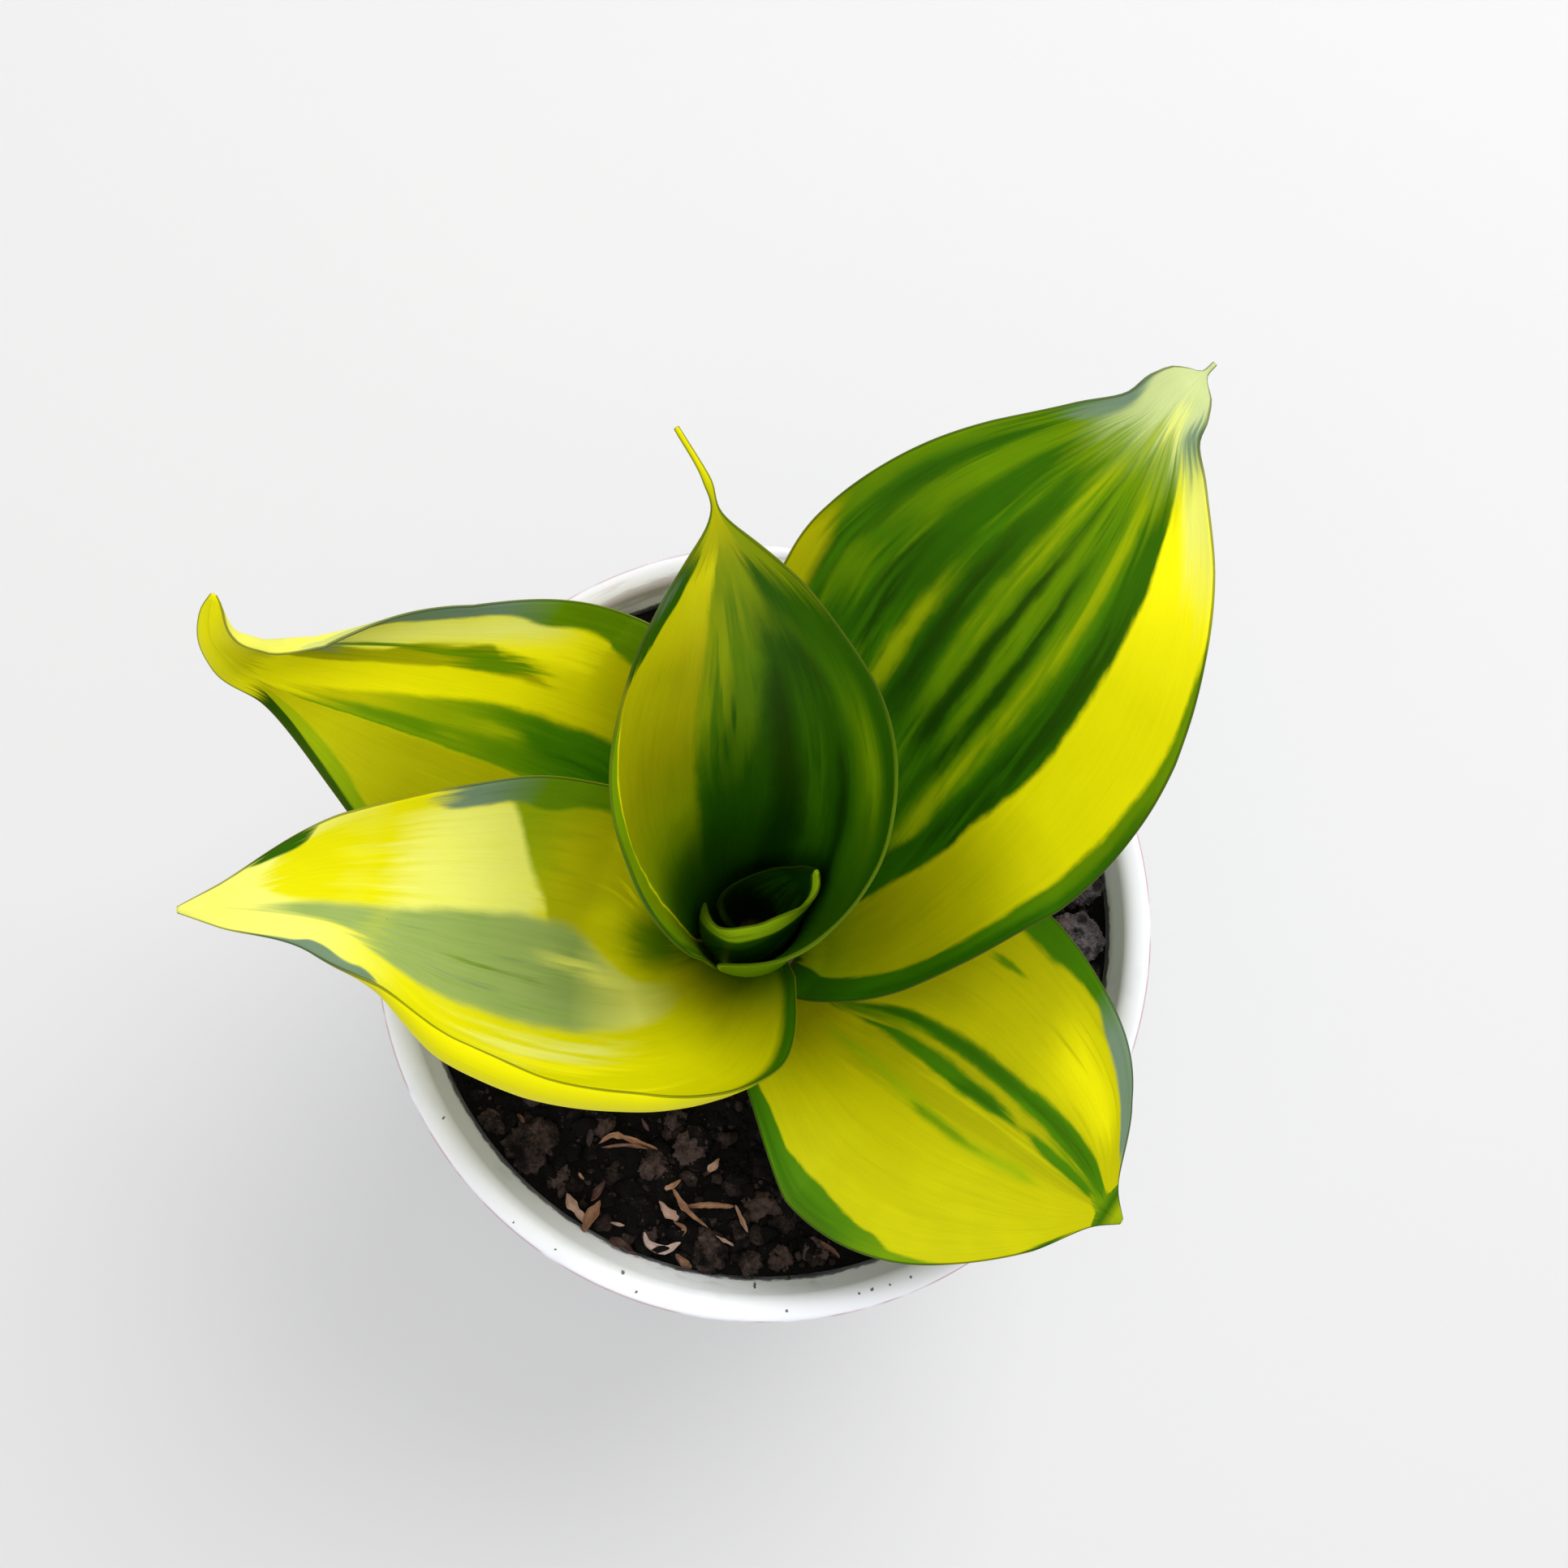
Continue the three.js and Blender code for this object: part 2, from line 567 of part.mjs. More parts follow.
makePot();
makeChunks(makeSoil());
makeCrown();
makeLeaf("leaf_young_rolled", YOUNG_LEAF, YOUNG_LEAF_MIDDLE, 0xa4b414);
makeLeaf("leaf_centre_funnel", FUNNEL_LEAF, LEAF_MIDDLE, 0x5a8412);
makeLeaf("leaf_lower_left", LOWER_LEFT_LEAF, LEAF_MIDDLE, 0xd8d61e);
makeLeaf("leaf_right", RIGHT_LEAF, LEAF_MIDDLE, 0x4f8218);
makeLeaf("leaf_upper_left", UPPER_LEFT_LEAF, LEAF_MIDDLE, 0xb4ba10);
makeLeaf("leaf_lower_right", LOWER_RIGHT_LEAF, LEAF_MIDDLE, 0xc4c208);

export default root;
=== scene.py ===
import math

import bmesh
import bpy
from bpy.props import FloatProperty, FloatVectorProperty, IntProperty, PointerProperty
from mathutils import Matrix, Vector, noise


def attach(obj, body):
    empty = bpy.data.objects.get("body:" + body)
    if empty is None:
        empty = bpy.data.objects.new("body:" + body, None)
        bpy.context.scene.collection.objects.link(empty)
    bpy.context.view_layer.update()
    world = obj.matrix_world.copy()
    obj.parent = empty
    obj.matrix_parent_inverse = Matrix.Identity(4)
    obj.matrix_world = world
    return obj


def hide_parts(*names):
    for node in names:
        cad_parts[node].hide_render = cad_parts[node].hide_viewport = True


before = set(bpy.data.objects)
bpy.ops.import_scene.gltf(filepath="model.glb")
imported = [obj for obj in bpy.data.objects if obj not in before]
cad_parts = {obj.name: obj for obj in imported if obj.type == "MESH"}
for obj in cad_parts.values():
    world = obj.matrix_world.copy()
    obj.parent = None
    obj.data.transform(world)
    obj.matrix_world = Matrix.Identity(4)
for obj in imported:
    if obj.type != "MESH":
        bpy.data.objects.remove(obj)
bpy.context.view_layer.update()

bl_info = {
    "name": "Potted Snake Plant",
    "version": (1, 0, 0),
    "blender": (4, 5, 0),
    "location": "3D View > Sidebar > Snake Plant",
    "description": "Dresses the frame of a potted variegated snake plant",
    "category": "Object",
}

# Lengths in the tables are millimetres, with the origin under the middle of the pot's foot.
MM = 0.001
POT_TOP = 120.0
SOIL_TOP = 106.0
CROWN_AT = (-2.0, 0.0)
CROWN_TOP = 104.0

# The leaves' feet stand 0.3 over the crown. Their heights count from the rim.
LEAF_FOOT = CROWN_TOP + 0.3 - POT_TOP


def srgb(red, green, blue):
    """A colour given as 0 to 255, in the linear numbers that a shader takes."""

    def linear(part):
        share = part / 255
        if share <= 0.04045:
            return share / 12.92
        return ((share + 0.055) / 1.055) ** 2.4

    return (linear(red), linear(green), linear(blue))


def length(name, description, millimetres):
    return FloatProperty(
        name=name, description=description, default=millimetres * MM, min=0, unit="LENGTH"
    )


def colour(name, description, red, green, blue):
    return FloatVectorProperty(
        name=name,
        description=description,
        subtype="COLOR",
        size=3,
        min=0,
        max=1,
        default=srgb(red, green, blue),
    )


class PotSettings(bpy.types.PropertyGroup):
    """The sizes and colours of the glazed pot."""

    rim_radius: length("Rim radius", "Outer radius of the pot at its rim", 70)
    lip_width: length("Lip width", "Width of the rounded lip", 4.6)
    lip_depth: length("Lip depth", "How far the lip drops to its inner side", 4.4)
    lip_edge: length("Lip edge", "Radius of the lip's outer edge", 1.2)
    foot_radius: length("Foot radius", "Outer radius of the pot at its foot", 50)
    wall: length("Wall", "Thickness of the wall under the soil", 3.6)
    floor: length("Floor", "Thickness of the pot's floor", 6)
    drain_radius: length("Drain radius", "Radius of each drain hole", 4)
    drain_circle: length("Drain circle", "Radius of the circle that the drain holes lie on", 26)
    drains: IntProperty(name="Drains", description="Number of drain holes", default=4, min=3)
    segments: IntProperty(name="Segments", description="Steps round the pot", default=160, min=24)
    glaze: colour("Glaze", "Colour of the glaze", 240, 242, 249)
    clay: colour("Clay", "Colour of the clay where the glaze is thin", 186, 138, 142)
    grime: colour("Grime", "Colour of the dirt by the soil line", 44, 36, 32)


class SoilSettings(bpy.types.PropertyGroup):
    """The colours and amounts of the potting mix."""

    crumbs: FloatProperty(
        name="Crumbs", description="Crumbs on each square centimetre", default=26, min=0
    )
    grit: FloatProperty(name="Grit", description="Grains on each square centimetre", default=22, min=0)
    seed: IntProperty(name="Seed", description="Changes how the small bits lie", default=4)
    # Near black: partly the mix's own colour, partly painted shade of its hollows.
    dark: colour("Dark", "Colour of the mix in its hollows", 7, 5, 4)
    brown: colour("Brown", "Colour of the dry clods", 82, 66, 61)
    husk_brown: colour("Brown husk", "Colour of the darkest husks", 84, 50, 38)
    husk_golden: colour("Golden husk", "Colour of the golden husks", 158, 114, 78)
    husk_pale: colour("Pale wood", "Colour of the palest shavings", 204, 178, 168)
    stone: colour("Stone", "Colour of the porous chunks", 98, 91, 95)


class LeafSettings(bpy.types.PropertyGroup):
    """The colours of the leaves."""

    yellow: colour("Yellow", "The main yellow of the leaves", 224, 218, 3)
    bright: colour("Bright yellow", "The brightest yellow", 246, 238, 14)
    gold: colour("Dull yellow", "Yellow on its way to olive", 180, 177, 2)
    # Dark yellow is partly painted shade: on the shaded lower half of the upper left leaf and near the
    # leaves' feet.
    brass: colour("Dark yellow", "Yellow in the lower parts", 158, 158, 2)
    # Pale yellow is painted sheen where the leaves reflect light, and the paler own colour of the upper left
    # leaf's under face.
    pale: colour("Pale yellow", "Yellow that fades to cream", 234, 234, 112)
    fresh: colour("Fresh green", "The margin of the young leaf", 182, 218, 26)
    lime: colour("Light green", "The outer band of the middle leaf", 128, 166, 6)
    olive: colour("Olive", "Stripes between green and yellow", 142, 160, 2)
    moss: colour("Moss green", "Stripes between olive and green", 92, 130, 1)
    green: colour("Green", "The main green", 56, 110, 2)
    deep: colour("Deep green", "The darker stripes", 36, 90, 1)
    # Darkest green is also painted shade, inside the young leaf's roll and deep in the funnel leaf.
    black: colour("Darkest green", "The darkest stripes", 16, 60, 1)
    grey: colour("Grey green", "The greyish band of the lower left leaf", 148, 169, 94)
    slate: colour("Slate green", "The bluish bands at the margins", 108, 132, 112)
    # Silver green is painted sheen: light reflected off the bent leaf tips.
    silver_sheen: colour("Silver green", "The whitish sheen at the tips", 190, 202, 142)
    edge: colour("Edge", "The thin line round each leaf", 44, 60, 8)


class StageSettings(bpy.types.PropertyGroup):
    """The camera, the lights and the floor."""

    camera_height: length("Camera height", "Height of the camera over the foot of the pot", 570)
    focal_length: FloatProperty(
        name="Focal length", description="Of the camera, in millimetres", default=57.26, unit="CAMERA"
    )
    floor: colour("Floor", "Colour of the floor", 218, 218, 218)
    key: FloatProperty(name="Key light", description="Strength of the key light", default=10.4, min=0)
    sky: FloatProperty(name="Sky", description="Strength of the light all round", default=0.8, min=0)


# Node trees.


class Wire:
    """A socket that can be used in sums."""

    def __init__(self, board, socket):
        self.board = board
        self.socket = socket

    def __add__(self, other):
        return self.board.maths("ADD", self, other)

    def __radd__(self, other):
        return self.board.maths("ADD", other, self)

    def __sub__(self, other):
        return self.board.maths("SUBTRACT", self, other)

    def __rsub__(self, other):
        return self.board.maths("SUBTRACT", other, self)

    def __mul__(self, other):
        return self.board.maths("MULTIPLY", self, other)

    def __rmul__(self, other):
        return self.board.maths("MULTIPLY", other, self)

    def __truediv__(self, other):
        return self.board.maths("DIVIDE", self, other)

    def __rtruediv__(self, other):
        return self.board.maths("DIVIDE", other, self)

    def __neg__(self):
        return self.board.maths("MULTIPLY", self, -1)

    def __pow__(self, other):
        return self.board.maths("POWER", self, other)


class Board:
    """A node tree that is written as calls and sums."""

    def __init__(self, tree):
        self.tree = tree

    def node(self, kind, settings=None, sockets=None):
        """A node of a type, with its settings first and then its socket values or links."""
        made = self.tree.nodes.new(kind)
        for name, value in (settings or {}).items():
            setattr(made, name, value)
        for key, value in (sockets or {}).items():
            socket = made.inputs[key]
            if isinstance(value, Wire):
                self.tree.links.new(value.socket, socket)
            elif socket.type == "RGBA":
                socket.default_value = (*value[:3], 1)
            else:
                socket.default_value = value
        return made

    def wire(self, kind, settings=None, sockets=None, output=0):
        """The same, as the wire that leaves one of its outputs."""
        return Wire(self, self.node(kind, settings, sockets).outputs[output])

    def maths(self, operation, *values):
        return self.wire("ShaderNodeMath", {"operation": operation}, dict(enumerate(values)))

    def vectors(self, operation, *values):
        return self.wire("ShaderNodeVectorMath", {"operation": operation}, dict(enumerate(values)))

    def scaled(self, vector, scale):
        return self.wire(
            "ShaderNodeVectorMath", {"operation": "SCALE"}, {"Vector": vector, "Scale": scale}
        )

    def vector(self, x, y, z):
        return self.wire("ShaderNodeCombineXYZ", {}, {"X": x, "Y": y, "Z": z})

    def parts(self, vector):
        made = self.node("ShaderNodeSeparateXYZ", {}, {"Vector": vector})
        return [Wire(self, output) for output in made.outputs]

    def smooth(self, value, low, high):
        """0 up to low, 1 from high on, and a soft step between."""
        return self.wire(
            "ShaderNodeMapRange",
            {"interpolation_type": "SMOOTHSTEP"},
            {"Value": value, "From Min": low, "From Max": high},
        )

    def mix(self, share, first, second, blend="MIX"):
        return self.wire(
            "ShaderNodeMix",
            {"data_type": "RGBA", "blend_type": blend},
            {0: share, 6: first, 7: second},
            output=2,
        )

    def grain(self, vector, scale, detail=2.0, roughness=0.5, output=0):
        """Noise from 0 to 1: one number at output 0, three at output 1."""
        return self.wire(
            "ShaderNodeTexNoise",
            {},
            {"Vector": vector, "Scale": scale, "Detail": detail, "Roughness": roughness},
            output=output,
        )


class Finish(Board):
    """A material with one main shader."""

    def __init__(self, name, **constants):
        self.material = bpy.data.materials.new(name)
        self.material.use_nodes = True
        super().__init__(self.material.node_tree)
        self.tree.nodes.clear()
        sockets = {key.replace("_", " "): value for key, value in constants.items()}
        self.shader = self.node("ShaderNodeBsdfPrincipled", {}, sockets)
        surface = Wire(self, self.shader.outputs[0])
        self.node("ShaderNodeOutputMaterial", {}, {"Surface": surface})

    def feed(self, name, wire):
        self.tree.links.new(wire.socket, self.shader.inputs[name])

    def place(self):
        """The place on the piece, in metres."""
        return self.wire("ShaderNodeTexCoord", output=3)

    def attribute(self, name, output=1):
        """Numbers from the piece's corners: a vector at output 1, a single number at output 2."""
        return self.wire("ShaderNodeAttribute", {"attribute_name": name}, {}, output=output)

    def bump(self, height, depth, strength, facing=None):
        """Feeds a height from 0 to 1 that stands for a depth in millimetres, on a facing if given."""
        sockets = {"Height": height, "Distance": depth * MM, "Strength": strength}
        if facing:
            sockets["Normal"] = facing
        self.feed("Normal", self.wire("ShaderNodeBump", {}, sockets))

    def line(self, value, points, low=-1.3, high=1.3):
        """A smooth line through (value, result) points."""
        made = self.node("ShaderNodeFloatCurve", {}, {"Value": value})
        spots = made.mapping.curves[0].points
        while len(spots) < len(points):
            spots.new(0.5, 0.5)
        for spot, (at, result) in zip(spots, points):
            spot.location = (at, (result - low) / (high - low))
            spot.handle_type = "AUTO_CLAMPED"
        made.mapping.update()
        return Wire(self, made.outputs[0]) * (high - low) + low

    def ramp(self, value, stops):
        """Colours that change along a value, from (value, colour) stops."""
        made = self.node("ShaderNodeValToRGB", {}, {"Fac": value})
        elements = made.color_ramp.elements
        while len(elements) < len(stops):
            elements.new(0.5)
        for element, (at, shade) in zip(elements, stops):
            element.position = at
            element.color = (*shade[:3], 1)
        return Wire(self, made.outputs[0])


# Meshes.


def add_object(name, corners, faces):
    """An object with smooth faces, from corners in metres."""
    mesh = bpy.data.meshes.new(name)
    mesh.from_pydata(corners, [], faces)
    mesh.polygons.foreach_set("use_smooth", [True] * len(mesh.polygons))
    mesh.update()
    made = bpy.data.objects.new(name, mesh)
    bpy.context.scene.collection.objects.link(made)
    return made


def add_numbers(made, name, kind, values):
    """Numbers on each corner of a mesh, that a material reads by name."""
    layer = made.data.attributes.new(name, kind, "POINT")
    if kind == "FLOAT":
        layer.data.foreach_set("value", values)
    else:
        layer.data.foreach_set("vector", [part for value in values for part in value])


def settle(made, material, slot, *nodes):
    """Gives a finished piece its one material, and its place in the frame."""
    made.data.materials.clear()
    made.data.materials.append(material)
    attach(made, "root")
    if nodes:
        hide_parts(*nodes)


def grown(name, source, tree, inputs):
    """The plain mesh that a geometry tree makes of a source object, which is then removed."""
    modifier = source.modifiers.new("Grow", "NODES")
    modifier.node_group = tree
    for item in tree.interface.items_tree:
        if item.name in inputs:
            modifier[item.identifier] = inputs[item.name]
    bpy.context.view_layer.update()
    evaluated = source.evaluated_get(bpy.context.evaluated_depsgraph_get())
    mesh = bpy.data.meshes.new_from_object(evaluated)
    mesh.name = name
    made = bpy.data.objects.new(name, mesh)
    bpy.context.scene.collection.objects.link(made)
    source.modifiers.clear()
    bpy.data.objects.remove(source)
    return made


def new_tree(name, sockets):
    """An empty geometry tree with named inputs, and the board and wires to fill it with."""
    tree = bpy.data.node_groups.new(name, "GeometryNodeTree")
    tree.interface.new_socket("Geometry", in_out="INPUT", socket_type="NodeSocketGeometry")
    tree.interface.new_socket("Geometry", in_out="OUTPUT", socket_type="NodeSocketGeometry")
    for label, kind in sockets.items():
        tree.interface.new_socket(label, in_out="INPUT", socket_type="NodeSocket" + kind)
    board = Board(tree)
    entry = board.node("NodeGroupInput")
    wires = {output.name: Wire(board, output) for output in entry.outputs if output.name}
    return tree, board, wires


def end_tree(board, geometry, material):
    """Ends a tree with its instances made real and its material set."""
    real = board.wire("GeometryNodeRealizeInstances", {}, {"Geometry": geometry})
    done = board.wire("GeometryNodeSetMaterial", {}, {"Geometry": real, "Material": material})
    board.node("NodeGroupOutput", {}, {"Geometry": done})


def smooth_but_corners(board, geometry, angle):
    """Smooth faces, with edges sharper than an angle kept crisp."""
    bend = board.wire("GeometryNodeInputMeshEdgeAngle")
    gentle = board.wire("FunctionNodeCompare", {"operation": "LESS_THAN"}, {0: bend, 1: angle})
    faces = board.wire("GeometryNodeSetShadeSmooth", {"domain": "FACE"}, {"Geometry": geometry})
    return board.wire(
        "GeometryNodeSetShadeSmooth",
        {"domain": "EDGE"},
        {"Geometry": faces, "Shade Smooth": gentle},
    )


def turned_tree(drilled):
    """A tree that turns a line of corners (radius, 0, height) round the z axis, with drain holes."""
    sockets = {"Segments": "Int", "Material": "Material"}
    if drilled:
        drain_sockets = {"Drain circle": "Float", "Drain radius": "Float", "Drill": "Float"}
        sockets.update({"Drains": "Int", **drain_sockets})
    tree, board, given = new_tree("Turned body", sockets)
    count = board.wire("GeometryNodeAttributeDomainSize", {}, {"Geometry": given["Geometry"]})
    grid = board.wire(
        "GeometryNodeMeshGrid",
        {},
        {"Size X": 1, "Size Y": 1, "Vertices X": count, "Vertices Y": given["Segments"] + 1},
    )
    spot = board.wire("GeometryNodeInputPosition")
    along, around, _ = board.parts(spot)
    index = board.maths("ROUND", (along + 0.5) * (count - 1))
    outline = board.wire(
        "GeometryNodeSampleIndex",
        {"data_type": "FLOAT_VECTOR"},
        {"Geometry": given["Geometry"], "Value": spot, "Index": index},
    )
    radius, _, height = board.parts(outline)
    turn = (around + 0.5) * (2 * math.pi)
    place = board.vector(
        radius * board.maths("COSINE", turn), radius * board.maths("SINE", turn), height
    )
    body = board.wire("GeometryNodeSetPosition", {}, {"Geometry": grid, "Position": place})
    body = board.wire("GeometryNodeMergeByDistance", {}, {"Geometry": body, "Distance": 0.01 * MM})
    if drilled:
        body = board.wire("GeometryNodeFlipFaces", {}, {"Mesh": body})
        circle = board.wire(
            "GeometryNodeMeshCircle", {}, {"Vertices": given["Drains"], "Radius": given["Drain circle"]}
        )
        half_step = board.vector(0, 0, math.pi / given["Drains"])
        circle = board.wire("GeometryNodeTransform", {}, {"Geometry": circle, "Rotation": half_step})
        drill = board.wire(
            "GeometryNodeMeshCylinder",
            {},
            {"Vertices": 40, "Radius": given["Drain radius"], "Depth": given["Drill"]},
        )
        drills = board.wire("GeometryNodeInstanceOnPoints", {}, {"Points": circle, "Instance": drill})
        drills = board.wire("GeometryNodeRealizeInstances", {}, {"Geometry": drills})
        body = board.wire(
            "GeometryNodeMeshBoolean", {"operation": "DIFFERENCE"}, {"Mesh 1": body, "Mesh 2": drills}
        )
    end_tree(board, smooth_but_corners(board, body, math.radians(32)), given["Material"])
    return tree


def scatter_tree():
    """A tree that strews copies of a shape over a bed, each of its own size, turn and tone."""
    sockets = {
        "Shape": "Object",
        "Density": "Float",
        "Spacing": "Float",
        "Smallest": "Float",
        "Largest": "Float",
        "Tilt": "Float",
        "Flatness": "Float",
        "Sink": "Float",
        "Unevenness": "Float",
        "Grain": "Float",
        "Seed": "Int",
        "Material": "Material",
    }
    tree, board, given = new_tree("Strewn bits", sockets)
    strewn = board.node(
        "GeometryNodeDistributePointsOnFaces",
        {"distribute_method": "POISSON"},
        {
            "Mesh": given["Geometry"],
            "Distance Min": given["Spacing"],
            "Density Max": given["Density"],
            "Seed": given["Seed"],
        },
    )
    points = Wire(board, strewn.outputs["Points"])

    def chance(kind, low, high, step):
        made = board.node("FunctionNodeRandomValue", {"data_type": kind})
        ends = [socket for socket in made.inputs if socket.enabled]
        for socket, value in zip(ends, (low, high)):
            if isinstance(value, Wire):
                tree.links.new(value.socket, socket)
            else:
                socket.default_value = value
        tree.links.new((given["Seed"] + step).socket, made.inputs["Seed"])
        return Wire(board, next(output for output in made.outputs if output.enabled))

    tone = chance("FLOAT", 0.0, 1.0, 11)
    points = board.wire(
        "GeometryNodeStoreNamedAttribute",
        {"data_type": "FLOAT", "domain": "POINT"},
        {"Geometry": points, "Name": "tone", "Value": tone},
    )
    share = chance("FLOAT", 0.0, 1.0, 12) ** 2.2
    size = given["Smallest"] + (given["Largest"] - given["Smallest"]) * share
    stretch = chance("FLOAT_VECTOR", (0.75, 0.75, 0.75), (1.2, 1.2, 1.2), 13)
    stretch = board.vectors("MULTIPLY", stretch, board.vector(1, 1, given["Flatness"]))
    low = board.vector(-given["Tilt"], -given["Tilt"], 0)
    high = board.vector(given["Tilt"], given["Tilt"], 2 * math.pi)
    euler = chance("FLOAT_VECTOR", low, high, 14)
    shape = board.node("GeometryNodeObjectInfo", {}, {"Object": given["Shape"]})
    copies = board.wire(
        "GeometryNodeInstanceOnPoints",
        {},
        {
            "Points": points,
            "Instance": Wire(board, shape.outputs["Geometry"]),
            "Rotation": board.wire("FunctionNodeEulerToRotation", {}, {"Euler": euler}),
            "Scale": board.scaled(stretch, size),
        },
    )
    copies = board.wire("GeometryNodeRealizeInstances", {}, {"Geometry": copies})
    spot = board.wire("GeometryNodeInputPosition")
    swell = board.grain(spot, given["Grain"], 2.0, 0.5, output=1)
    swell = board.vectors("SUBTRACT", swell, (0.5, 0.5, 0.5))
    swell = board.scaled(swell, given["Unevenness"])
    sunk = board.vectors("SUBTRACT", swell, board.vector(0, 0, given["Sink"]))
    copies = board.wire("GeometryNodeSetPosition", {}, {"Geometry": copies, "Offset": sunk})
    copies = board.wire("GeometryNodeSetShadeSmooth", {}, {"Geometry": copies})
    end_tree(board, copies, given["Material"])
    return tree


# The pot and the crown.


def round_lip(radius, width, depth, edge):
    """The corners of the pot's lip, from its outer edge over the crest to its inner side."""
    crest = radius - edge
    outer_steps = 6
    inner_steps = 16
    corners = []
    for k in range(outer_steps + 1):
        turn = math.pi / 2 * k / outer_steps
        corners.append((crest + edge * math.cos(turn), POT_TOP - edge * (1 - math.sin(turn))))
    for k in range(1, inner_steps + 1):
        turn = math.pi / 2 * k / inner_steps
        corners.append((crest - (width - edge) * math.sin(turn), POT_TOP - depth * (1 - math.cos(turn))))
    return corners


def spread(corners, step):
    """The same outline with its long straight runs cut into steps."""
    result = []
    for (r1, z1), (r2, z2) in zip(corners, corners[1:]):
        pieces = max(1, round(math.hypot(r2 - r1, z2 - z1) / step))
        for k in range(pieces):
            share = k / pieces
            result.append((r1 + (r2 - r1) * share, z1 + (z2 - z1) * share))
    return [*result, corners[-1]]


def turned_piece(name, outline, tree, inputs):
    """A body turned round the z axis from (radius, height) corners."""
    corners = [(radius * MM, 0, height * MM) for radius, height in outline]
    source = add_object(name + "_outline", corners, [])
    return grown(name, source, tree, inputs)


# Specks of dirt on the pot's lip: x, y and radius.
POT_SPECKS = [
    (-25.2, -61.1, 0.4),
    (-22.8, -64.4, 0.3),
    (-37.2, -56.8, 0.25),
    (-44.7, -52, 0.22),
    (-1.6, -64.6, 0.3),
    (4.7, -63.8, 0.28),
    (4.2, -67.7, 0.28),
    (19.4, -64, 0.3),
    (26.4, -61.8, 0.32),
    (22.6, -63.2, 0.25),
    (17.1, -64.7, 0.22),
    (-57.5, -33.5, 0.25),
    (-60.2, 25.4, 0.3),
]


def pot_finish(settings):
    """White glaze, thin and pinkish at the outer edge, with worn rings and painted shade at the back, and
    specks.
    """
    finish = Finish("pot_glaze", Roughness=0.3, Coat_Weight=0.15, Coat_Roughness=0.12)
    place = finish.place()
    x, y, z = finish.parts(place)
    radius = (x * x + y * y) ** 0.5
    rim = settings.rim_radius
    foot_radius = settings.foot_radius
    wall = z * ((rim - foot_radius) / (POT_TOP * MM)) + foot_radius
    cloud = finish.grain(place, 38, 3.0)
    patch = finish.grain(place, 85, 3.0, 0.6)
    fleck = finish.grain(place, 420, 2.0, 0.6)
    grit = finish.grain(place, 1300, 3.0, 0.7)
    tone = finish.mix(finish.smooth(cloud, 0.45, 0.7) * 0.2, settings.glaze, srgb(228, 234, 242))
    tone = finish.mix(finish.smooth(patch, 0.54, 0.7) * 0.22, tone, srgb(206, 214, 224))
    # The clay shows as a thin line at the outer edge of the lip, and at the foot.
    edge_top = finish.smooth(z, POT_TOP * MM - 2.6 * MM, POT_TOP * MM - 1.5 * MM)
    edge_side = finish.smooth(radius, rim - 0.55 * MM, rim - 0.15 * MM)
    worn = finish.smooth(finish.grain(place, 110, 3.0), 0.3, 0.56)
    tone = finish.mix(edge_top * edge_side * worn * 0.9, tone, settings.clay)
    foot = 1 - finish.smooth(z, 0.6 * MM, 2.4 * MM)
    tone = finish.mix(foot * 0.85, tone, srgb(176, 128, 104))
    # The back of the lip is worn in rings that are greyer and a little pink, and painted shade makes the
    # whole back greyer and a little pink.
    inside = finish.smooth(wall - radius, 1.2 * MM, 2.4 * MM)
    inside = inside * finish.smooth(z, (SOIL_TOP - 2) * MM, (SOIL_TOP - 1) * MM)
    rings = finish.grain(finish.vector(radius * 7, x * 0.5, y * 0.5), 90, 3.0, 0.6)
    back = finish.smooth(y, 10 * MM, 44 * MM) * (1 - finish.smooth(x, 0, 40 * MM))
    tone = finish.mix(back * finish.smooth(rings, 0.46, 0.56) * inside * 0.75, tone, srgb(190, 172, 178))
    # Painted shade: the whole back of the pot is a little greyer and pinker.
    tone = finish.mix(back * 0.3, tone, srgb(214, 204, 208))
    # Dirt along the soil line, a few smears above it, and specks with ragged edges.
    low = 1 - finish.smooth(z + (fleck - 0.5) * 4 * MM, (SOIL_TOP + 0.2) * MM, (SOIL_TOP + 1.6) * MM)
    tone = finish.mix(inside * low * 0.85, tone, settings.grime)
    near_soil = 1 - finish.smooth(z, (SOIL_TOP + 1) * MM, (SOIL_TOP + 8) * MM)
    smear = finish.smooth(patch, 0.6, 0.72) * near_soil
    tone = finish.mix(inside * smear * 0.4, tone, srgb(150, 144, 140))
    ragged = 0.7
    shift = finish.scaled(finish.grain(place, 1100, 2.0, 0.6, output=1), ragged * MM)
    shape = finish.vectors("MULTIPLY", finish.vectors("ADD", place, shift), (1, 1, 0))
    seen = 1 - (1 - inside) * (1 - finish.smooth(z, (POT_TOP - 3) * MM, (POT_TOP - 2) * MM))
    for at_x, at_y, size in POT_SPECKS:
        middle = ((at_x + ragged / 2) * MM, (at_y + ragged / 2) * MM, 0)
        away = finish.vectors("SUBTRACT", shape, middle)
        away = finish.wire("ShaderNodeVectorMath", {"operation": "LENGTH"}, {0: away}, output=1)
        spot = (1 - finish.smooth(away, size * 0.6 * MM, size * 1.15 * MM)) * seen
        tone = finish.mix(spot * 0.9, tone, settings.grime)
    speck = finish.smooth(grit, 0.72, 0.76) * finish.smooth(patch, 0.54, 0.62)
    tone = finish.mix(inside * speck * 0.6, tone, srgb(92, 80, 70))
    tone = finish.mix((1 - inside) * finish.smooth(fleck, 0.8, 0.82) * 0.6, tone, settings.grime)
    finish.feed("Base Color", tone)
    finish.feed("Roughness", 0.26 + cloud * 0.14 + inside * low * 0.35 + foot * 0.3)
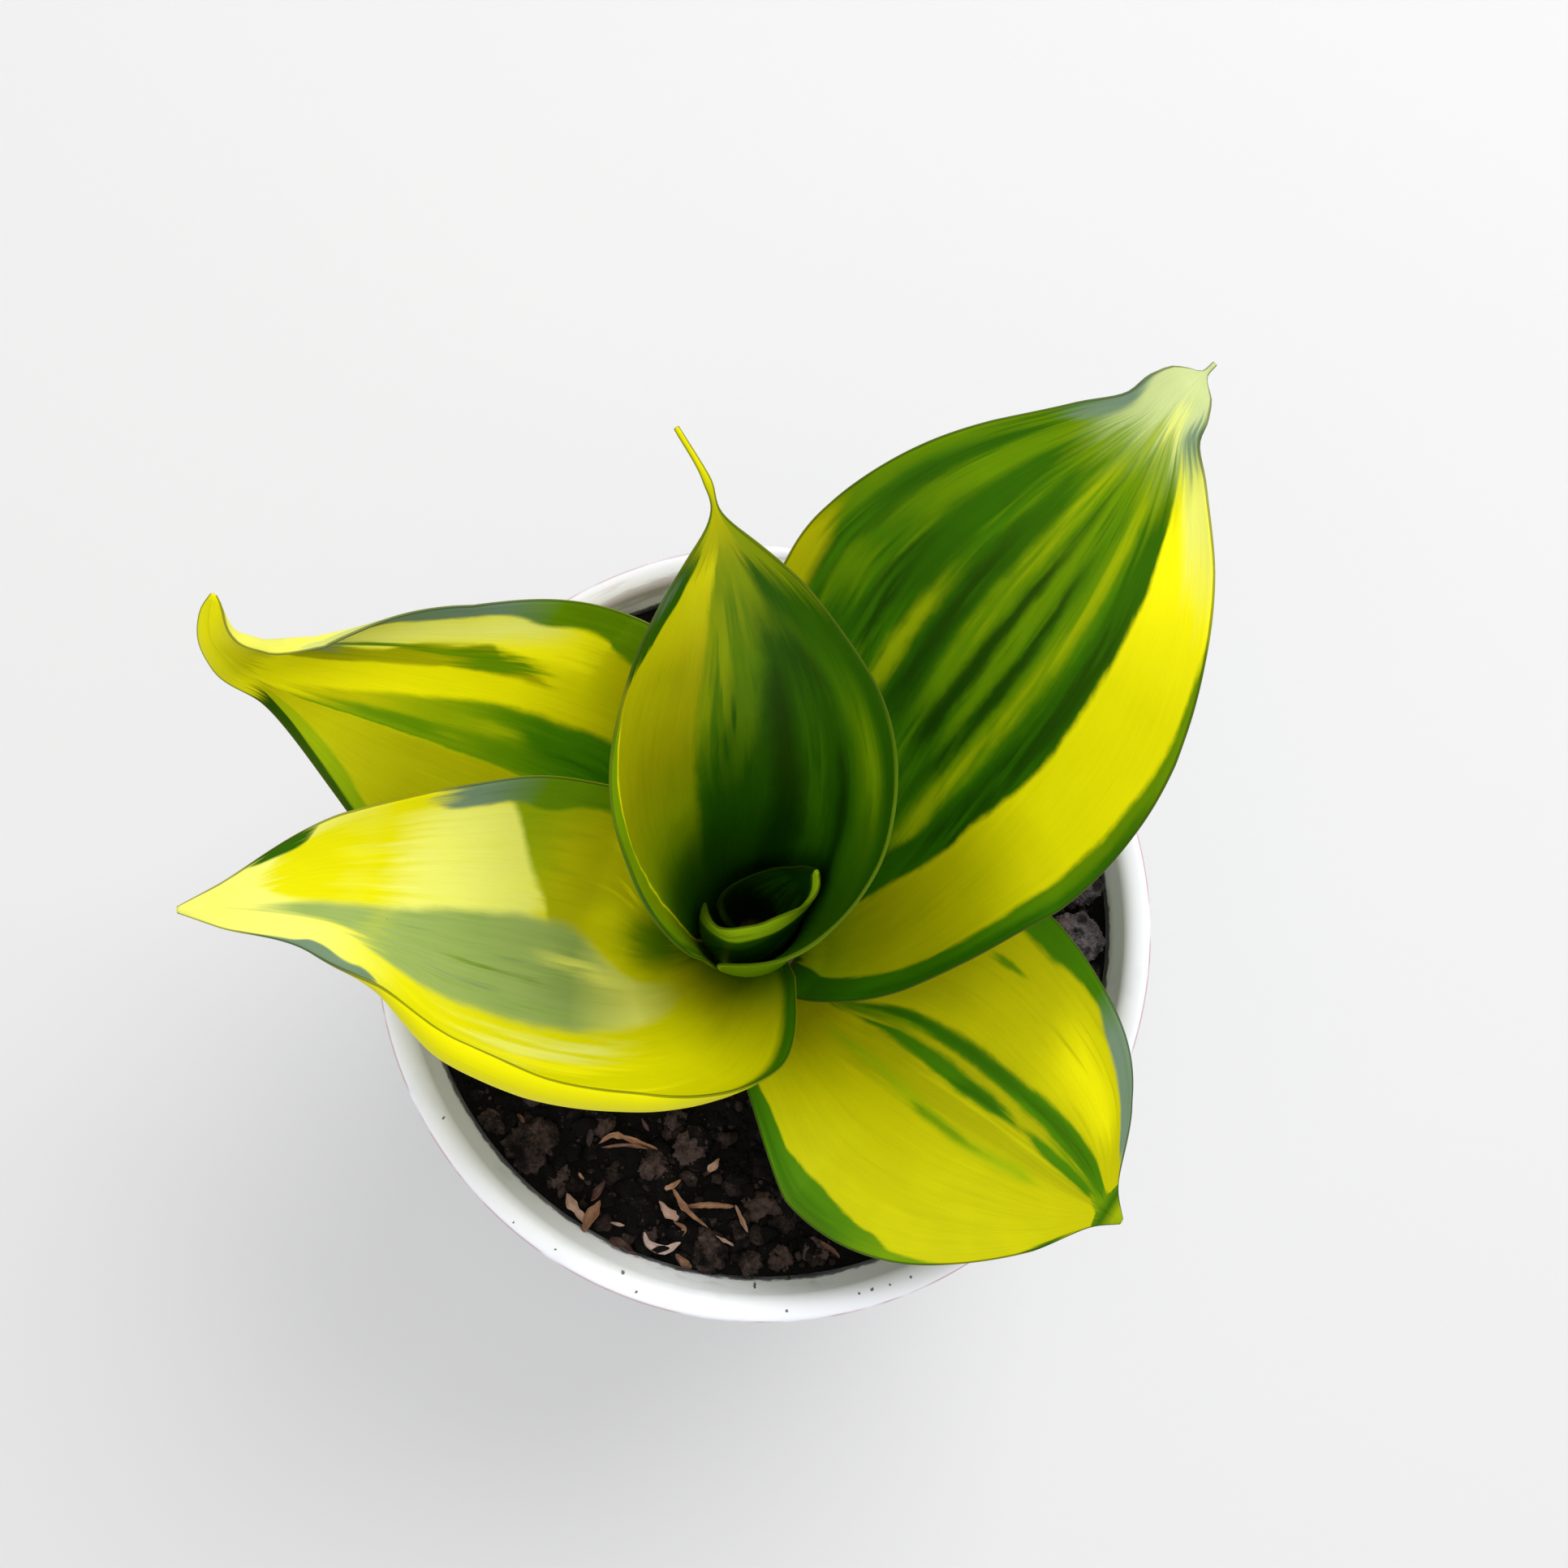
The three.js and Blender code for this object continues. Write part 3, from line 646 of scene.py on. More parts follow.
    # Inside, the shading direction is turned partly upwards, which makes the wall lighter.
    facing = finish.wire("ShaderNodeNewGeometry", output=1)
    lifted = finish.vectors("ADD", facing, finish.scaled((0, 0, 1), inside * 0.9))
    finish.bump(cloud * 0.6 + patch * 0.4, 0.3, 0.5, finish.vectors("NORMALIZE", lifted))
    return finish.material


def crown_finish():
    """A pale fibrous stem with brown scars in rings."""
    finish = Finish("crown_skin", Roughness=0.7)
    place = finish.place()
    x, y, z = finish.parts(place)
    ring = finish.wire(
        "ShaderNodeTexWave",
        {"bands_direction": "Z"},
        {"Vector": place, "Scale": 95, "Distortion": 2.0, "Detail": 2.0},
        output=1,
    )
    fibre = finish.grain(finish.vector(x, y, z * 0.15), 700, 3.0)
    tone = finish.mix(finish.smooth(fibre, 0.3, 0.7), srgb(120, 112, 60), srgb(176, 170, 104))
    tone = finish.mix(finish.smooth(ring, 0.62, 0.9) * 0.7, tone, srgb(92, 66, 36))
    finish.feed("Base Color", tone)
    finish.bump(ring * 0.6 + fibre * 0.4, 0.4, 0.6)
    return finish.material


class PLANT_OT_pot(bpy.types.Operator):
    """Makes the glazed pot with its drain holes"""

    bl_idname = "plant.pot"
    bl_label = "Pot"

    def execute(self, context):
        settings = context.scene.plant_pot
        radius = settings.rim_radius / MM
        foot = settings.foot_radius / MM
        wall = settings.wall / MM
        floor = settings.floor / MM
        lip = [settings.lip_width / MM, settings.lip_depth / MM, settings.lip_edge / MM]

        def outer(height):
            return foot + (radius - foot) * height / POT_TOP

        # The underside, with a flat middle, a hollow and a ring, then the outer wall up to the lip.
        corners = [(0, 0), (13.6, 0), (14, 0.4), (15, 2), (foot - 10, 2), (foot - 9.2, 0.5)]
        corners += [(foot - 8.8, 0), (foot - 1.4, 0), (foot - 0.7, 0.25), (outer(1.2), 1.2)]
        corners += round_lip(radius, *lip)
        # Down the inner wall and over the floor to the middle.
        corners += [(outer(SOIL_TOP) - wall, SOIL_TOP), (outer(floor + 4) - wall, floor + 4)]
        corners += [(outer(floor + 1.4) - wall - 1.6, floor + 1.4)]
        corners += [(outer(floor) - wall - 4, floor), (0, floor)]
        finish = pot_finish(settings)
        made = turned_piece(
            "pot_turned",
            spread(corners, 4),
            turned_tree(True),
            {
                "Segments": settings.segments,
                "Drains": settings.drains,
                "Drain circle": settings.drain_circle,
                "Drain radius": settings.drain_radius,
                "Drill": 4 * settings.floor,
                "Material": finish,
            },
        )
        settle(made, finish, "pot_glaze", "pot")
        return {"FINISHED"}


class PLANT_OT_crown(bpy.types.Operator):
    """Makes the crown, the short stem that carries the leaves"""

    bl_idname = "plant.crown"
    bl_label = "Crown"

    def execute(self, context):
        outline = [(0, 90), (11.4, 90), (13.4, 91.2), (14.4, 93), (15.1, 96)]
        # Four low rings, where older leaves were.
        for k in range(8):
            outline.append((15.3 - 0.35 * (k % 2), 97 + 0.85 * k))
        outline += [(15, CROWN_TOP - 0.6), (14.4, CROWN_TOP - 0.1), (0, CROWN_TOP - 0.1)]
        finish = crown_finish()
        inputs = {"Segments": 72, "Material": finish}
        made = turned_piece("crown_stem", outline, turned_tree(False), inputs)
        for corner in made.data.vertices:
            corner.co.x += CROWN_AT[0] * MM
            corner.co.y += CROWN_AT[1] * MM
        settle(made, finish, "crown", "crown")
        return {"FINISHED"}


# The potting mix.

# The larger clods in front: x, y and half size.
FRONT_CLODS = [
    (-42.8, -39, 5),
    (-20.1, -43, 2.9),
    (-13, -39.7, 3.2),
    (-10.5, -58.6, 3.8),
    (-37.9, -45, 2.4),
    (-0.2, -51.5, 3.6),
    (-2.4, -60.8, 2.6),
    (3.2, -60.1, 2.4),
    (9.4, -58.9, 2.4),
    (-16.3, -35.2, 2.2),
    (-29.6, -35.9, 2.4),
    (-50, -35, 2.4),
]

# Places among the husks and splinters in front, which the strewn bits keep clear of.
FRONT_BITS = [
    (-25.1, -38.2),
    (-35.3, -50.6),
    (-31.3, -52.1),
    (-29.9, -47.6),
    (-26, -56.6),
    (-12.8, -50.9),
    (-9.8, -50.4),
    (-4.4, -52.2),
    (-9.2, -43),
    (-21.3, -55.6),
    (-17.5, -51.8),
    (-14.2, -60.4),
]

# The husks and splinters in front: tone from dark to pale, width, cup, and points of x, y and height.
FRONT_WOOD = [
    (0.62, 1.5, 0.5, [(-30.4, -39.1, 1.6), (-27.6, -37.3, 2.6), (-23.6, -38.5, 2.8), (-19.3, -40.2, 2.2)]),
    (0.5, 0.9, 0.2, [(-29.9, -39.8, 1.4), (-25.1, -39.2, 2), (-20.9, -40.1, 1.8)]),
    (0.72, 2.3, 0.2, [(-10.2, -44.1, 2.6), (-9.1, -42.8, 3.2), (-8.1, -41.7, 3)]),
    (0.8, 2.7, 0.8, [(-36.2, -48.2, 1.7), (-34.6, -50.8, 2.5), (-32.9, -53.6, 1.7)]),
    (0.58, 2.6, 0.9, [(-30, -49.4, 2.2), (-31.4, -52.3, 2.9), (-33.2, -55.4, 1.8)]),
    (0.36, 2, 0.8, [(-29.1, -45.8, 2), (-30.2, -47.7, 2.6), (-31.7, -49.6, 2)]),
    (0.3, 2.4, 0.9, [(-28.2, -56.3, 1.4), (-26, -57.6, 2.2), (-23.4, -59.4, 1.2)]),
    (0.84, 0.9, 0.1, [(-28.2, -53.5, 1.8), (-25.5, -54, 1.6)]),
    (0.82, 2.9, 0.3, [(-19.1, -49.4, 2.6), (-17.6, -51, 3.6), (-15.7, -53, 2.4)]),
    (0.97, 2.2, 0.4, [(-21.8, -55.1, 2.6), (-21, -57.2, 2.2), (-18, -58.5, 2), (-15.2, -57, 2.6)]),
    (0.6, 1.5, 0.3, [(-16.5, -53.3, 2.2), (-14.5, -54.4, 2.6), (-15.2, -56.2, 2)]),
    (0.66, 1.9, 0.3, [(-18.1, -47, 2.8), (-16.6, -46.6, 3.2), (-15.1, -45.4, 3)]),
    (0.56, 1.7, 0.4, [(-16.7, -46.9, 2.8), (-14.6, -50.4, 3.4), (-10.2, -54.3, 2)]),
    (0.6, 1.8, 0.5, [(-14.8, -50.5, 2.6), (-10, -49.9, 3), (-5.4, -50.5, 2.4)]),
    (0.76, 1.3, 0.2, [(-5.2, -50.2, 2.8), (-4.2, -52.6, 2.6), (-2.9, -55.3, 1.8)]),
    (0.8, 0.9, 0.1, [(-8.7, -55.9, 1.8), (-5.3, -57.9, 1.6)]),
    (0.5, 2, 0.4, [(-16.1, -59.2, 1.6), (-14.6, -60.6, 2), (-13.2, -61.8, 1.4)]),
    (0.34, 1.2, 0.2, [(-22.4, -34.4, 2), (-21.1, -36.8, 2.4)]),
    (0.2, 1.9, 0.4, [(-32, -36, 1.8), (-32.1, -39.8, 1.6)]),
    (0.4, 1.3, 0.3, [(-45.3, -33.6, 2), (-44, -35.2, 2.2)]),
    (0.44, 1.4, 0.4, [(10.5, -57, 1.8), (12.6, -58.4, 2), (14, -60, 1.4)]),
    (0.7, 1, 0.1, [(-34, -44.4, 1.8), (-33, -45.6, 1.8)]),
]

# The porous chunks: x, y, three half sizes and a turn in radians.
CHUNKS = [
    (57.2, -1.8, (5.6, 4.6, 3.4), 0.5),
    (58.2, 8.6, (4.2, 3.6, 2.8), -0.3),
]

# The mix meets the pot's wall at its edge, and the crown stands in its hole.
SOIL_EDGE = 63.77
HOLE_RADIUS = 15.8

# How many clods, husks and sticks are strewn besides those in front, and the seed of their places.
STREWN_CLODS = 22
STREWN_HUSKS = 20
STREWN_STICKS = 6
STREWN_SEED = 20

# The small bits: name, the setting that gives their number, spacing, smallest and largest half size,
# how far they sink in, unevenness, a step of the seed, and the ring of the mix that they lie on.
SMALL_BITS = [
    ("soil_crumbs", "crumbs", 1.2, 0.5, 2.7, 0.45, 1.6, 11, HOLE_RADIUS + 2.5, SOIL_EDGE - 2.2),
    ("soil_grit", "grit", 0.75, 0.35, 0.8, -0.25, 0.6, 12, HOLE_RADIUS + 1.5, SOIL_EDGE - 1.2),
]

# Steps along a splinter and across it.
SPLINTER_STEPS = 12
SPLINTER_COLUMNS = 4


def chances(seed):
    """Repeatable random numbers from 0 to 1."""
    state = seed
    while True:
        state = (state * 1664525 + 1013904223) % 4294967296
        yield state / 4294967296


def relief(x, y):
    """How far the mix stands above its level at a place."""
    broad = 0.8 * math.sin(0.16 * x + 1.3) * math.cos(0.19 * y - 0.4)
    fine = 0.55 * math.sin(0.47 * x - 0.35 * y) + 0.45 * math.cos(0.4 * x + 0.58 * y + 2)
    share = min(max((math.hypot(x - CROWN_AT[0], y - CROWN_AT[1]) - HOLE_RADIUS) / 6, 0), 1)
    return (broad + fine) * share * share * (3 - 2 * share)


def is_free(x, y, reach):
    """Whether a place on the mix is clear of the crown, the wall, the chunks and the front bits."""
    if math.hypot(x - CROWN_AT[0], y - CROWN_AT[1]) < HOLE_RADIUS + 5 + reach:
        return False
    if math.hypot(x, y) > SOIL_EDGE - 0.9 - reach:
        return False
    if any(math.hypot(x - bit[0], y - bit[1]) < 3 + reach for bit in FRONT_BITS):
        return False
    if any(math.hypot(x - clod[0], y - clod[1]) < clod[2] + reach for clod in FRONT_CLODS):
        return False
    return all(math.hypot(x - chunk[0], y - chunk[1]) > chunk[2][0] + 2 + reach for chunk in CHUNKS)


def strewn(count, reach, chance):
    """Free places strewn over the mix, each with a heading in degrees and two random numbers."""
    places = []
    while len(places) < count:
        distance = (SOIL_EDGE + 0.3) * math.sqrt(next(chance))
        turn = 2 * math.pi * next(chance)
        x = distance * math.cos(turn)
        y = distance * math.sin(turn)
        if is_free(x, y, reach):
            places.append((x, y, 180 * next(chance), next(chance), next(chance)))
    return places


def lump_shape(sizes, detail, unevenness, seed):
    """A round lump pressed to three half sizes and roughened, round the origin."""
    shape = bmesh.new()
    bmesh.ops.create_icosphere(shape, subdivisions=detail, radius=1)
    faces = [[corner.index for corner in face.verts] for face in shape.faces]
    corners = []
    for corner in shape.verts:
        way = corner.co.normalized()
        spot = way + Vector((seed * 3.7, seed * 1.3, 0))
        broad = noise.noise(spot * 1.3)
        narrow = noise.fractal(spot * 3.2, 0.7, 2.1, 3)
        swell = 1 + unevenness * (1.1 * broad + 0.9 * narrow)
        corners.append(Vector((way.x * sizes[0], way.y * sizes[1], way.z * sizes[2])) * swell)
    shape.free()
    return corners, faces


class Heap:
    """Many small closed bodies that end up in one mesh, each with its own tone."""

    def __init__(self):
        self.corners = []
        self.faces = []
        self.tones = []
        self.runs = []

    def add(self, corners, faces, tone, runs=None):
        first = len(self.corners)
        self.corners.extend(corner * MM for corner in corners)
        self.faces.extend([first + index for index in face] for face in faces)
        self.tones.extend([tone] * len(corners))
        self.runs.extend(runs or [(0, 0, 0)] * len(corners))

    def made(self, name):
        result = add_object(name, self.corners, self.faces)
        add_numbers(result, "tone", "FLOAT", self.tones)
        add_numbers(result, "run", "FLOAT_VECTOR", self.runs)
        return result


def bent_line(points, steps):
    """Points along a smooth line through a few given ones."""
    if len(points) == 2:
        return [points[0].lerp(points[1], k / steps) for k in range(steps + 1)]
    ends = [2 * points[0] - points[1], *points, 2 * points[-1] - points[-2]]
    result = []
    for k in range(steps + 1):
        along = (len(points) - 1) * k / steps
        i = min(int(along), len(points) - 2)
        t = along - i
        a, b, c, d = ends[i : i + 4]
        result.append(
            0.5 * (2 * b + (c - a) * t + (2 * a - 5 * b + 4 * c - d) * t**2 + (3 * b - a - 3 * c + d) * t**3)
        )
    return result


def splinter(heap, points, width, cup, tone):
    """A husk, shaving or splinter: a thin strip on a bent line, cupped across and narrow at its ends."""
    thickness = 0.34
    blunt = 0.16
    line = bent_line([Vector(point) for point in points], SPLINTER_STEPS)
    corners = []
    runs = []
    travelled = 0.0
    for k, spot in enumerate(line):
        ahead = (line[min(k + 1, SPLINTER_STEPS)] - line[max(k - 1, 0)]).normalized()
        side = ahead.cross(Vector((0, 0, 1))).normalized()
        up = side.cross(ahead)
        share = k / SPLINTER_STEPS
        taper = blunt + (1 - blunt) * math.sin(math.pi * share) ** 0.6
        wobble = 1 + 0.6 * noise.noise(spot * 0.8 + Vector((0, 0, 9 * tone)))
        twist = (share - 0.5) * 2.2 * math.sin(37 * tone) + 0.7 * math.cos(53 * tone)
        roll = Matrix.Rotation(twist, 3, ahead)
        side = roll @ side
        up = roll @ up
        if k:
            travelled += (spot - line[k - 1]).length
        for face in (1, -1):
            for j in range(SPLINTER_COLUMNS + 1):
                v = (2 * j / SPLINTER_COLUMNS - 1) * face
                rise = cup * width * 0.5 * (v * v - 0.5) + face * thickness * 0.5 * (1 - 0.7 * abs(v))
                corner = spot + side * (v * width * 0.5 * taper * wobble) + up * (rise * taper)
                corners.append(corner)
                runs.append((v * width, travelled, 0))
    ring = 2 * (SPLINTER_COLUMNS + 1)
    faces = []
    for k in range(SPLINTER_STEPS):
        for j in range(ring):
            a = k * ring + j
            b = k * ring + (j + 1) % ring
            faces.append([a, b, b + ring, a + ring])
    faces.append(list(reversed(range(ring))))
    faces.append([SPLINTER_STEPS * ring + j for j in range(ring)])
    heap.add(corners, faces, tone, runs)


def mix_finish(name, settings, dark, light, wet):
    """Crumbly potting mix with brown dusty grains: the rest is near black, partly its own colour and partly
    painted shade of its hollows.
    """
    finish = Finish(name, Roughness=0.95, Specular_IOR_Level=0.2)
    place = finish.place()
    tone = finish.attribute("tone", 2)
    coarse = finish.grain(place, 260, 5.0, 0.68)
    fine = finish.grain(place, 1500, 3.0, 0.7)
    share = finish.smooth(coarse * 0.9 + fine * 0.3 + (tone - 0.5) * 0.5, dark, light)
    shade = finish.mix(share, settings.dark, settings.brown)
    dust = finish.smooth(fine, 0.6, 0.7) * finish.smooth(coarse, 0.48, 0.62) * (1 - wet)
    shade = finish.mix(dust * 0.55, shade, srgb(132, 112, 102))
    finish.feed("Base Color", shade)
    finish.bump(coarse * 0.7 + fine * 0.3, 1.1, 1.0)
    return finish.material


def husk_finish(settings):
    """Dry husks and shaved wood, from dark brown to nearly white, with grain along each piece."""
    finish = Finish("dry_husk", Roughness=0.62)
    run = finish.attribute("run")
    across, along, _ = finish.parts(run)
    tone = finish.attribute("tone", 2)
    streak = finish.grain(finish.vector(across * 2.4, along * 0.3, tone * 40), 1, 3.0, 0.6)
    blotch = finish.grain(finish.vector(across * 0.5, along * 0.4, tone * 90), 1, 2.0)
    stops = [(0.15, srgb(44, 27, 20)), (0.34, settings.husk_brown), (0.58, settings.husk_golden)]
    stops.append((0.95, settings.husk_pale))
    shade = finish.ramp(tone - 0.06 + (streak - 0.5) * 0.5 + (blotch - 0.5) * 0.4, stops)
    finish.feed("Base Color", shade)
    finish.bump(streak, 0.3, 0.7)
    return finish.material


def make_bed(name, inner, outer):
    """A ring-shaped piece of the mix's top, to strew bits on."""
    spokes = 96
    rings = 24
    corners = []
    faces = []
    for i in range(rings + 1):
        share = i / rings
        radius = inner + (outer - inner) * share
        for k in range(spokes):
            turn = 2 * math.pi * k / spokes
            x = CROWN_AT[0] * (1 - share) + radius * math.cos(turn)
            y = CROWN_AT[1] * (1 - share) + radius * math.sin(turn)
            corners.append((x * MM, y * MM, (SOIL_TOP + relief(x, y)) * MM))
    for i in range(rings):
        for k in range(spokes):
            a = i * spokes + k
            b = i * spokes + (k + 1) % spokes
            faces.append((a, a + spokes, b + spokes, b))
    return add_object(name, corners, faces)


def make_soil_body(name):
    """The body of the mix, closed below, with its hole for the crown and a rough top."""
    spokes = 200
    rings = 64
    # Each row has a radius, a height, and how far its middle lies from the pot's to the crown's.
    rows = [(43.1, 6.3, 0), (47.8, 10.3, 0), (SOIL_EDGE - 0.05, SOIL_TOP - 1, 0)]
    for k in range(rings + 1):
        radius = SOIL_EDGE - 0.4 + (HOLE_RADIUS - SOIL_EDGE + 0.4) * k / rings
        rows.append((radius, None, k / rings))
    rows.append((HOLE_RADIUS, CROWN_TOP - 14.3, 1))
    corners = []
    for radius, level, share in rows:
        for k in range(spokes):
            turn = 2 * math.pi * k / spokes
            x = CROWN_AT[0] * share + radius * math.cos(turn)
            y = CROWN_AT[1] * share + radius * math.sin(turn)
            height = level
            if level is None:
                height = SOIL_TOP + relief(x, y)
                fade = min(1, 6 * share, 12 * (1 - share) + 0.1)
                height += fade * 0.7 * noise.fractal(Vector((x, y, 0)) * 0.55, 0.8, 2.2, 4)
            corners.append((x * MM, y * MM, height * MM))
    faces = []
    for i in range(len(rows) - 1):
        for k in range(spokes):
            a = i * spokes + k
            b = i * spokes + (k + 1) % spokes
            faces.append((a, b, b + spokes, a + spokes))
    faces.append(list(reversed(range(spokes))))
    faces.append([(len(rows) - 1) * spokes + k for k in range(spokes)])
    made = add_object(name, corners, faces)
    add_numbers(made, "tone", "FLOAT", [0.25] * len(made.data.vertices))
    return made


def make_clods(name, places):
    """The clods in front and those at strewn places, as one mesh."""
    clods = [(x, y, 40 * x, size, 0.5) for x, y, size in FRONT_CLODS]
    clods += [(x, y, heading, 1.8 + 2.6 * a, b) for x, y, heading, a, b in places]
    heap = Heap()
    for number, (x, y, heading, size, fullness) in enumerate(clods):
        size = min(size, SOIL_EDGE - 0.4 - math.hypot(x, y))
        sizes = (size, size * (0.7 + 0.3 * fullness), size * (0.5 + 0.2 * fullness))
        corners, faces = lump_shape(sizes, 4, 0.42, number + 1)
        turn = Matrix.Rotation(math.radians(heading), 3, "Z")
        at = Vector((x, y, SOIL_TOP + relief(x, y) + 0.1))
        tone = 0.45 + 0.5 * ((number * 0.37) % 1)
        heap.add([turn @ corner + at for corner in corners], faces, tone)
    return heap.made(name)


def make_wood(name, husks, sticks):
    """The husks and splinters in front and those at strewn places, as one mesh."""
    heap = Heap()
    for tone, width, cup, points in FRONT_WOOD:
        raised = [(x, y, SOIL_TOP + relief(x, y) + height) for x, y, height in points]
        splinter(heap, raised, 0.72 * width, 0.5 + cup, tone)
    for number, (x, y, heading, a, b) in enumerate(husks + sticks):
        if number < len(husks):
            reach = (4.5 + 2 * a) / 2
            width = 1.8 + 0.8 * b
            cup = 0.8
        else:
            reach = (8 + 3 * a) / 2
            width = 1.3
            cup = 0.3
        turn = math.radians(heading)
        points = []
        for share, lift in ((-1, 0.6), (0, 1.3), (1, 0.7)):
            px = x + share * reach * math.cos(turn) - 0.12 * lift * reach * math.sin(turn)
            py = y + share * reach * math.sin(turn) + 0.12 * lift * reach * math.cos(turn)
            points.append((px, py, SOIL_TOP + relief(px, py) + lift))
        splinter(heap, points, width, cup, 0.25 + 0.7 * ((number * 0.61) % 1))
    return heap.made(name)


def make_small_bits(row, tree, lump, settings, material):
    """Crumbs or grit: copies of a lump strewn over a ring of the mix."""
    name, key, spacing, smallest, largest, sink, unevenness, step, inner, outer = row
    inputs = {
        "Shape": lump,
        # The setting counts bits on a square centimetre, and the tree on a square metre.
        "Density": getattr(settings, key) * 1e4,
        "Spacing": spacing * MM,
        "Smallest": smallest * MM,
        "Largest": largest * MM,
        "Tilt": math.pi,
        "Flatness": 0.8,
        "Sink": sink * MM,
        "Unevenness": unevenness * MM,
        "Grain": 420.0,
        "Seed": settings.seed + step,
        "Material": material,
    }
    return grown(name, make_bed(name + "_bed", inner, outer), tree, inputs)


class PLANT_OT_soil(bpy.types.Operator):
    """Makes the potting mix with its clods, crumbs, husks and splinters"""

    bl_idname = "plant.soil"
    bl_label = "Potting mix"

    def execute(self, context):
        settings = context.scene.plant_soil
        body = make_soil_body("soil_body")
        # The body is near black almost all over: partly the mix's own colour, partly painted shade in the
        # gaps between the bits on it.
        settle(body, mix_finish("mix_body", settings, 0.68, 1.5, 1), "potting_mix", "soil")

        chance = chances(STREWN_SEED)
        clods = make_clods("soil_clods", strewn(STREWN_CLODS, 3.4, chance))
        settle(clods, mix_finish("mix_clods", settings, 0.44, 0.84, 0), "potting_mix")
        husks = strewn(STREWN_HUSKS, 3, chance)
        sticks = strewn(STREWN_STICKS, 5, chance)
        wood = make_wood("soil_husks", husks, sticks)
        settle(wood, husk_finish(settings), "potting_mix")

        tree = scatter_tree()
        lump = add_object("lump_form", *lump_shape((1, 1, 1), 2, 0.4, 5))
        finish = mix_finish("mix_crumbs", settings, 0.58, 1.15, 0)
        for row in SMALL_BITS:
            made = make_small_bits(row, tree, lump, settings, finish)
            settle(made, finish, "potting_mix")
        bpy.data.objects.remove(lump)
        return {"FINISHED"}


def stone_finish(settings):
    """Grey porous stone, painted near black in its pits as shade, and lighter on the spots that its bump
    raises, as a painted highlight.
    """
    finish = Finish("porous_stone", Roughness=0.95, Specular_IOR_Level=0.3)
    place = finish.place()
    pits = finish.wire(
        "ShaderNodeTexVoronoi",
        {"feature": "SMOOTH_F1"},
        {"Vector": place, "Scale": 260, "Smoothness": 0.2, "Randomness": 1.0},
    )
    # Painted shade: the pits are painted near black.
    deep = 1 - finish.smooth(pits, 0.16, 0.42)
    cloud = finish.grain(place, 330, 4.0, 0.65)
    fine = finish.grain(place, 1900, 3.0, 0.7)
    shade = finish.mix(finish.smooth(cloud, 0.36, 0.66), srgb(58, 52, 54), settings.stone)
    # Painted highlight: the spots that the bump raises are painted lighter.
    shade = finish.mix(finish.smooth(fine, 0.5, 0.78) * 0.6, shade, srgb(140, 132, 137))
    shade = finish.mix(deep * 0.9, shade, srgb(22, 17, 17))
    shade = finish.mix(finish.smooth(finish.grain(place, 210), 0.56, 0.7) * 0.5, shade, srgb(92, 70, 56))
    finish.feed("Base Color", shade)
    finish.bump(cloud * 0.4 + fine * 0.2 - deep * 0.6, 0.8, 0.9)
    return finish.material


class PLANT_OT_chunks(bpy.types.Operator):
    """Makes the two grey porous chunks that lie on the mix"""

    bl_idname = "plant.chunks"
    bl_label = "Porous chunks"

    def execute(self, context):
        finish = stone_finish(context.scene.plant_soil)
        for number, (x, y, sizes, turn) in enumerate(CHUNKS, 1):
            corners, faces = lump_shape(sizes, 6, 0.16, 40 + number)
            rotation = Matrix.Rotation(turn, 3, "Z")
            middle = Vector((x, y, SOIL_TOP + 0.55 * sizes[2]))
            raised = []
            # Hollows with sharp ridges between them are cut into the lump.
            for corner in corners:
                edges = noise.turbulence(corner * 0.4, 3, True, noise_basis="VORONOI_F2F1")
                hollow = 2.6 * max(0, 0.62 - edges) + 0.9 * max(0, noise.fractal(corner * 0.7, 0.6, 2.1, 3))
                raised.append((rotation @ (corner * (1 - hollow / corner.length)) + middle) * MM)
            made = add_object(f"stone_chunk_{number}", raised, faces)
            settle(made, finish, "porous_stone", f"porous_chunk_{number}")
        return {"FINISHED"}


# The leaves. A station gives a share of the leaf's length, the place of its middle line with the
# height above the rim, the way that the leaf leans, and for the left and the right half the width,
# the turn of the section from the middle to the margin and an extra turn near the margin.


def station(share, x, y, height, lean, width, cup, curl=(0, 0)):
    return (share, x, y, POT_TOP + height, lean, *width, *cup, *curl)


def clasp(share, height, lean, radius, wraps, x=CROWN_AT[0], y=CROWN_AT[1]):
    """A station where the leaf's section is part of a circle about the plant's axis."""
    turn = math.radians(lean)
    widths = [radius * math.radians(wrap) for wrap in wraps]
    middle = (x + radius * math.cos(turn), y + radius * math.sin(turn))
    return station(share, *middle, height, lean, widths, wraps)


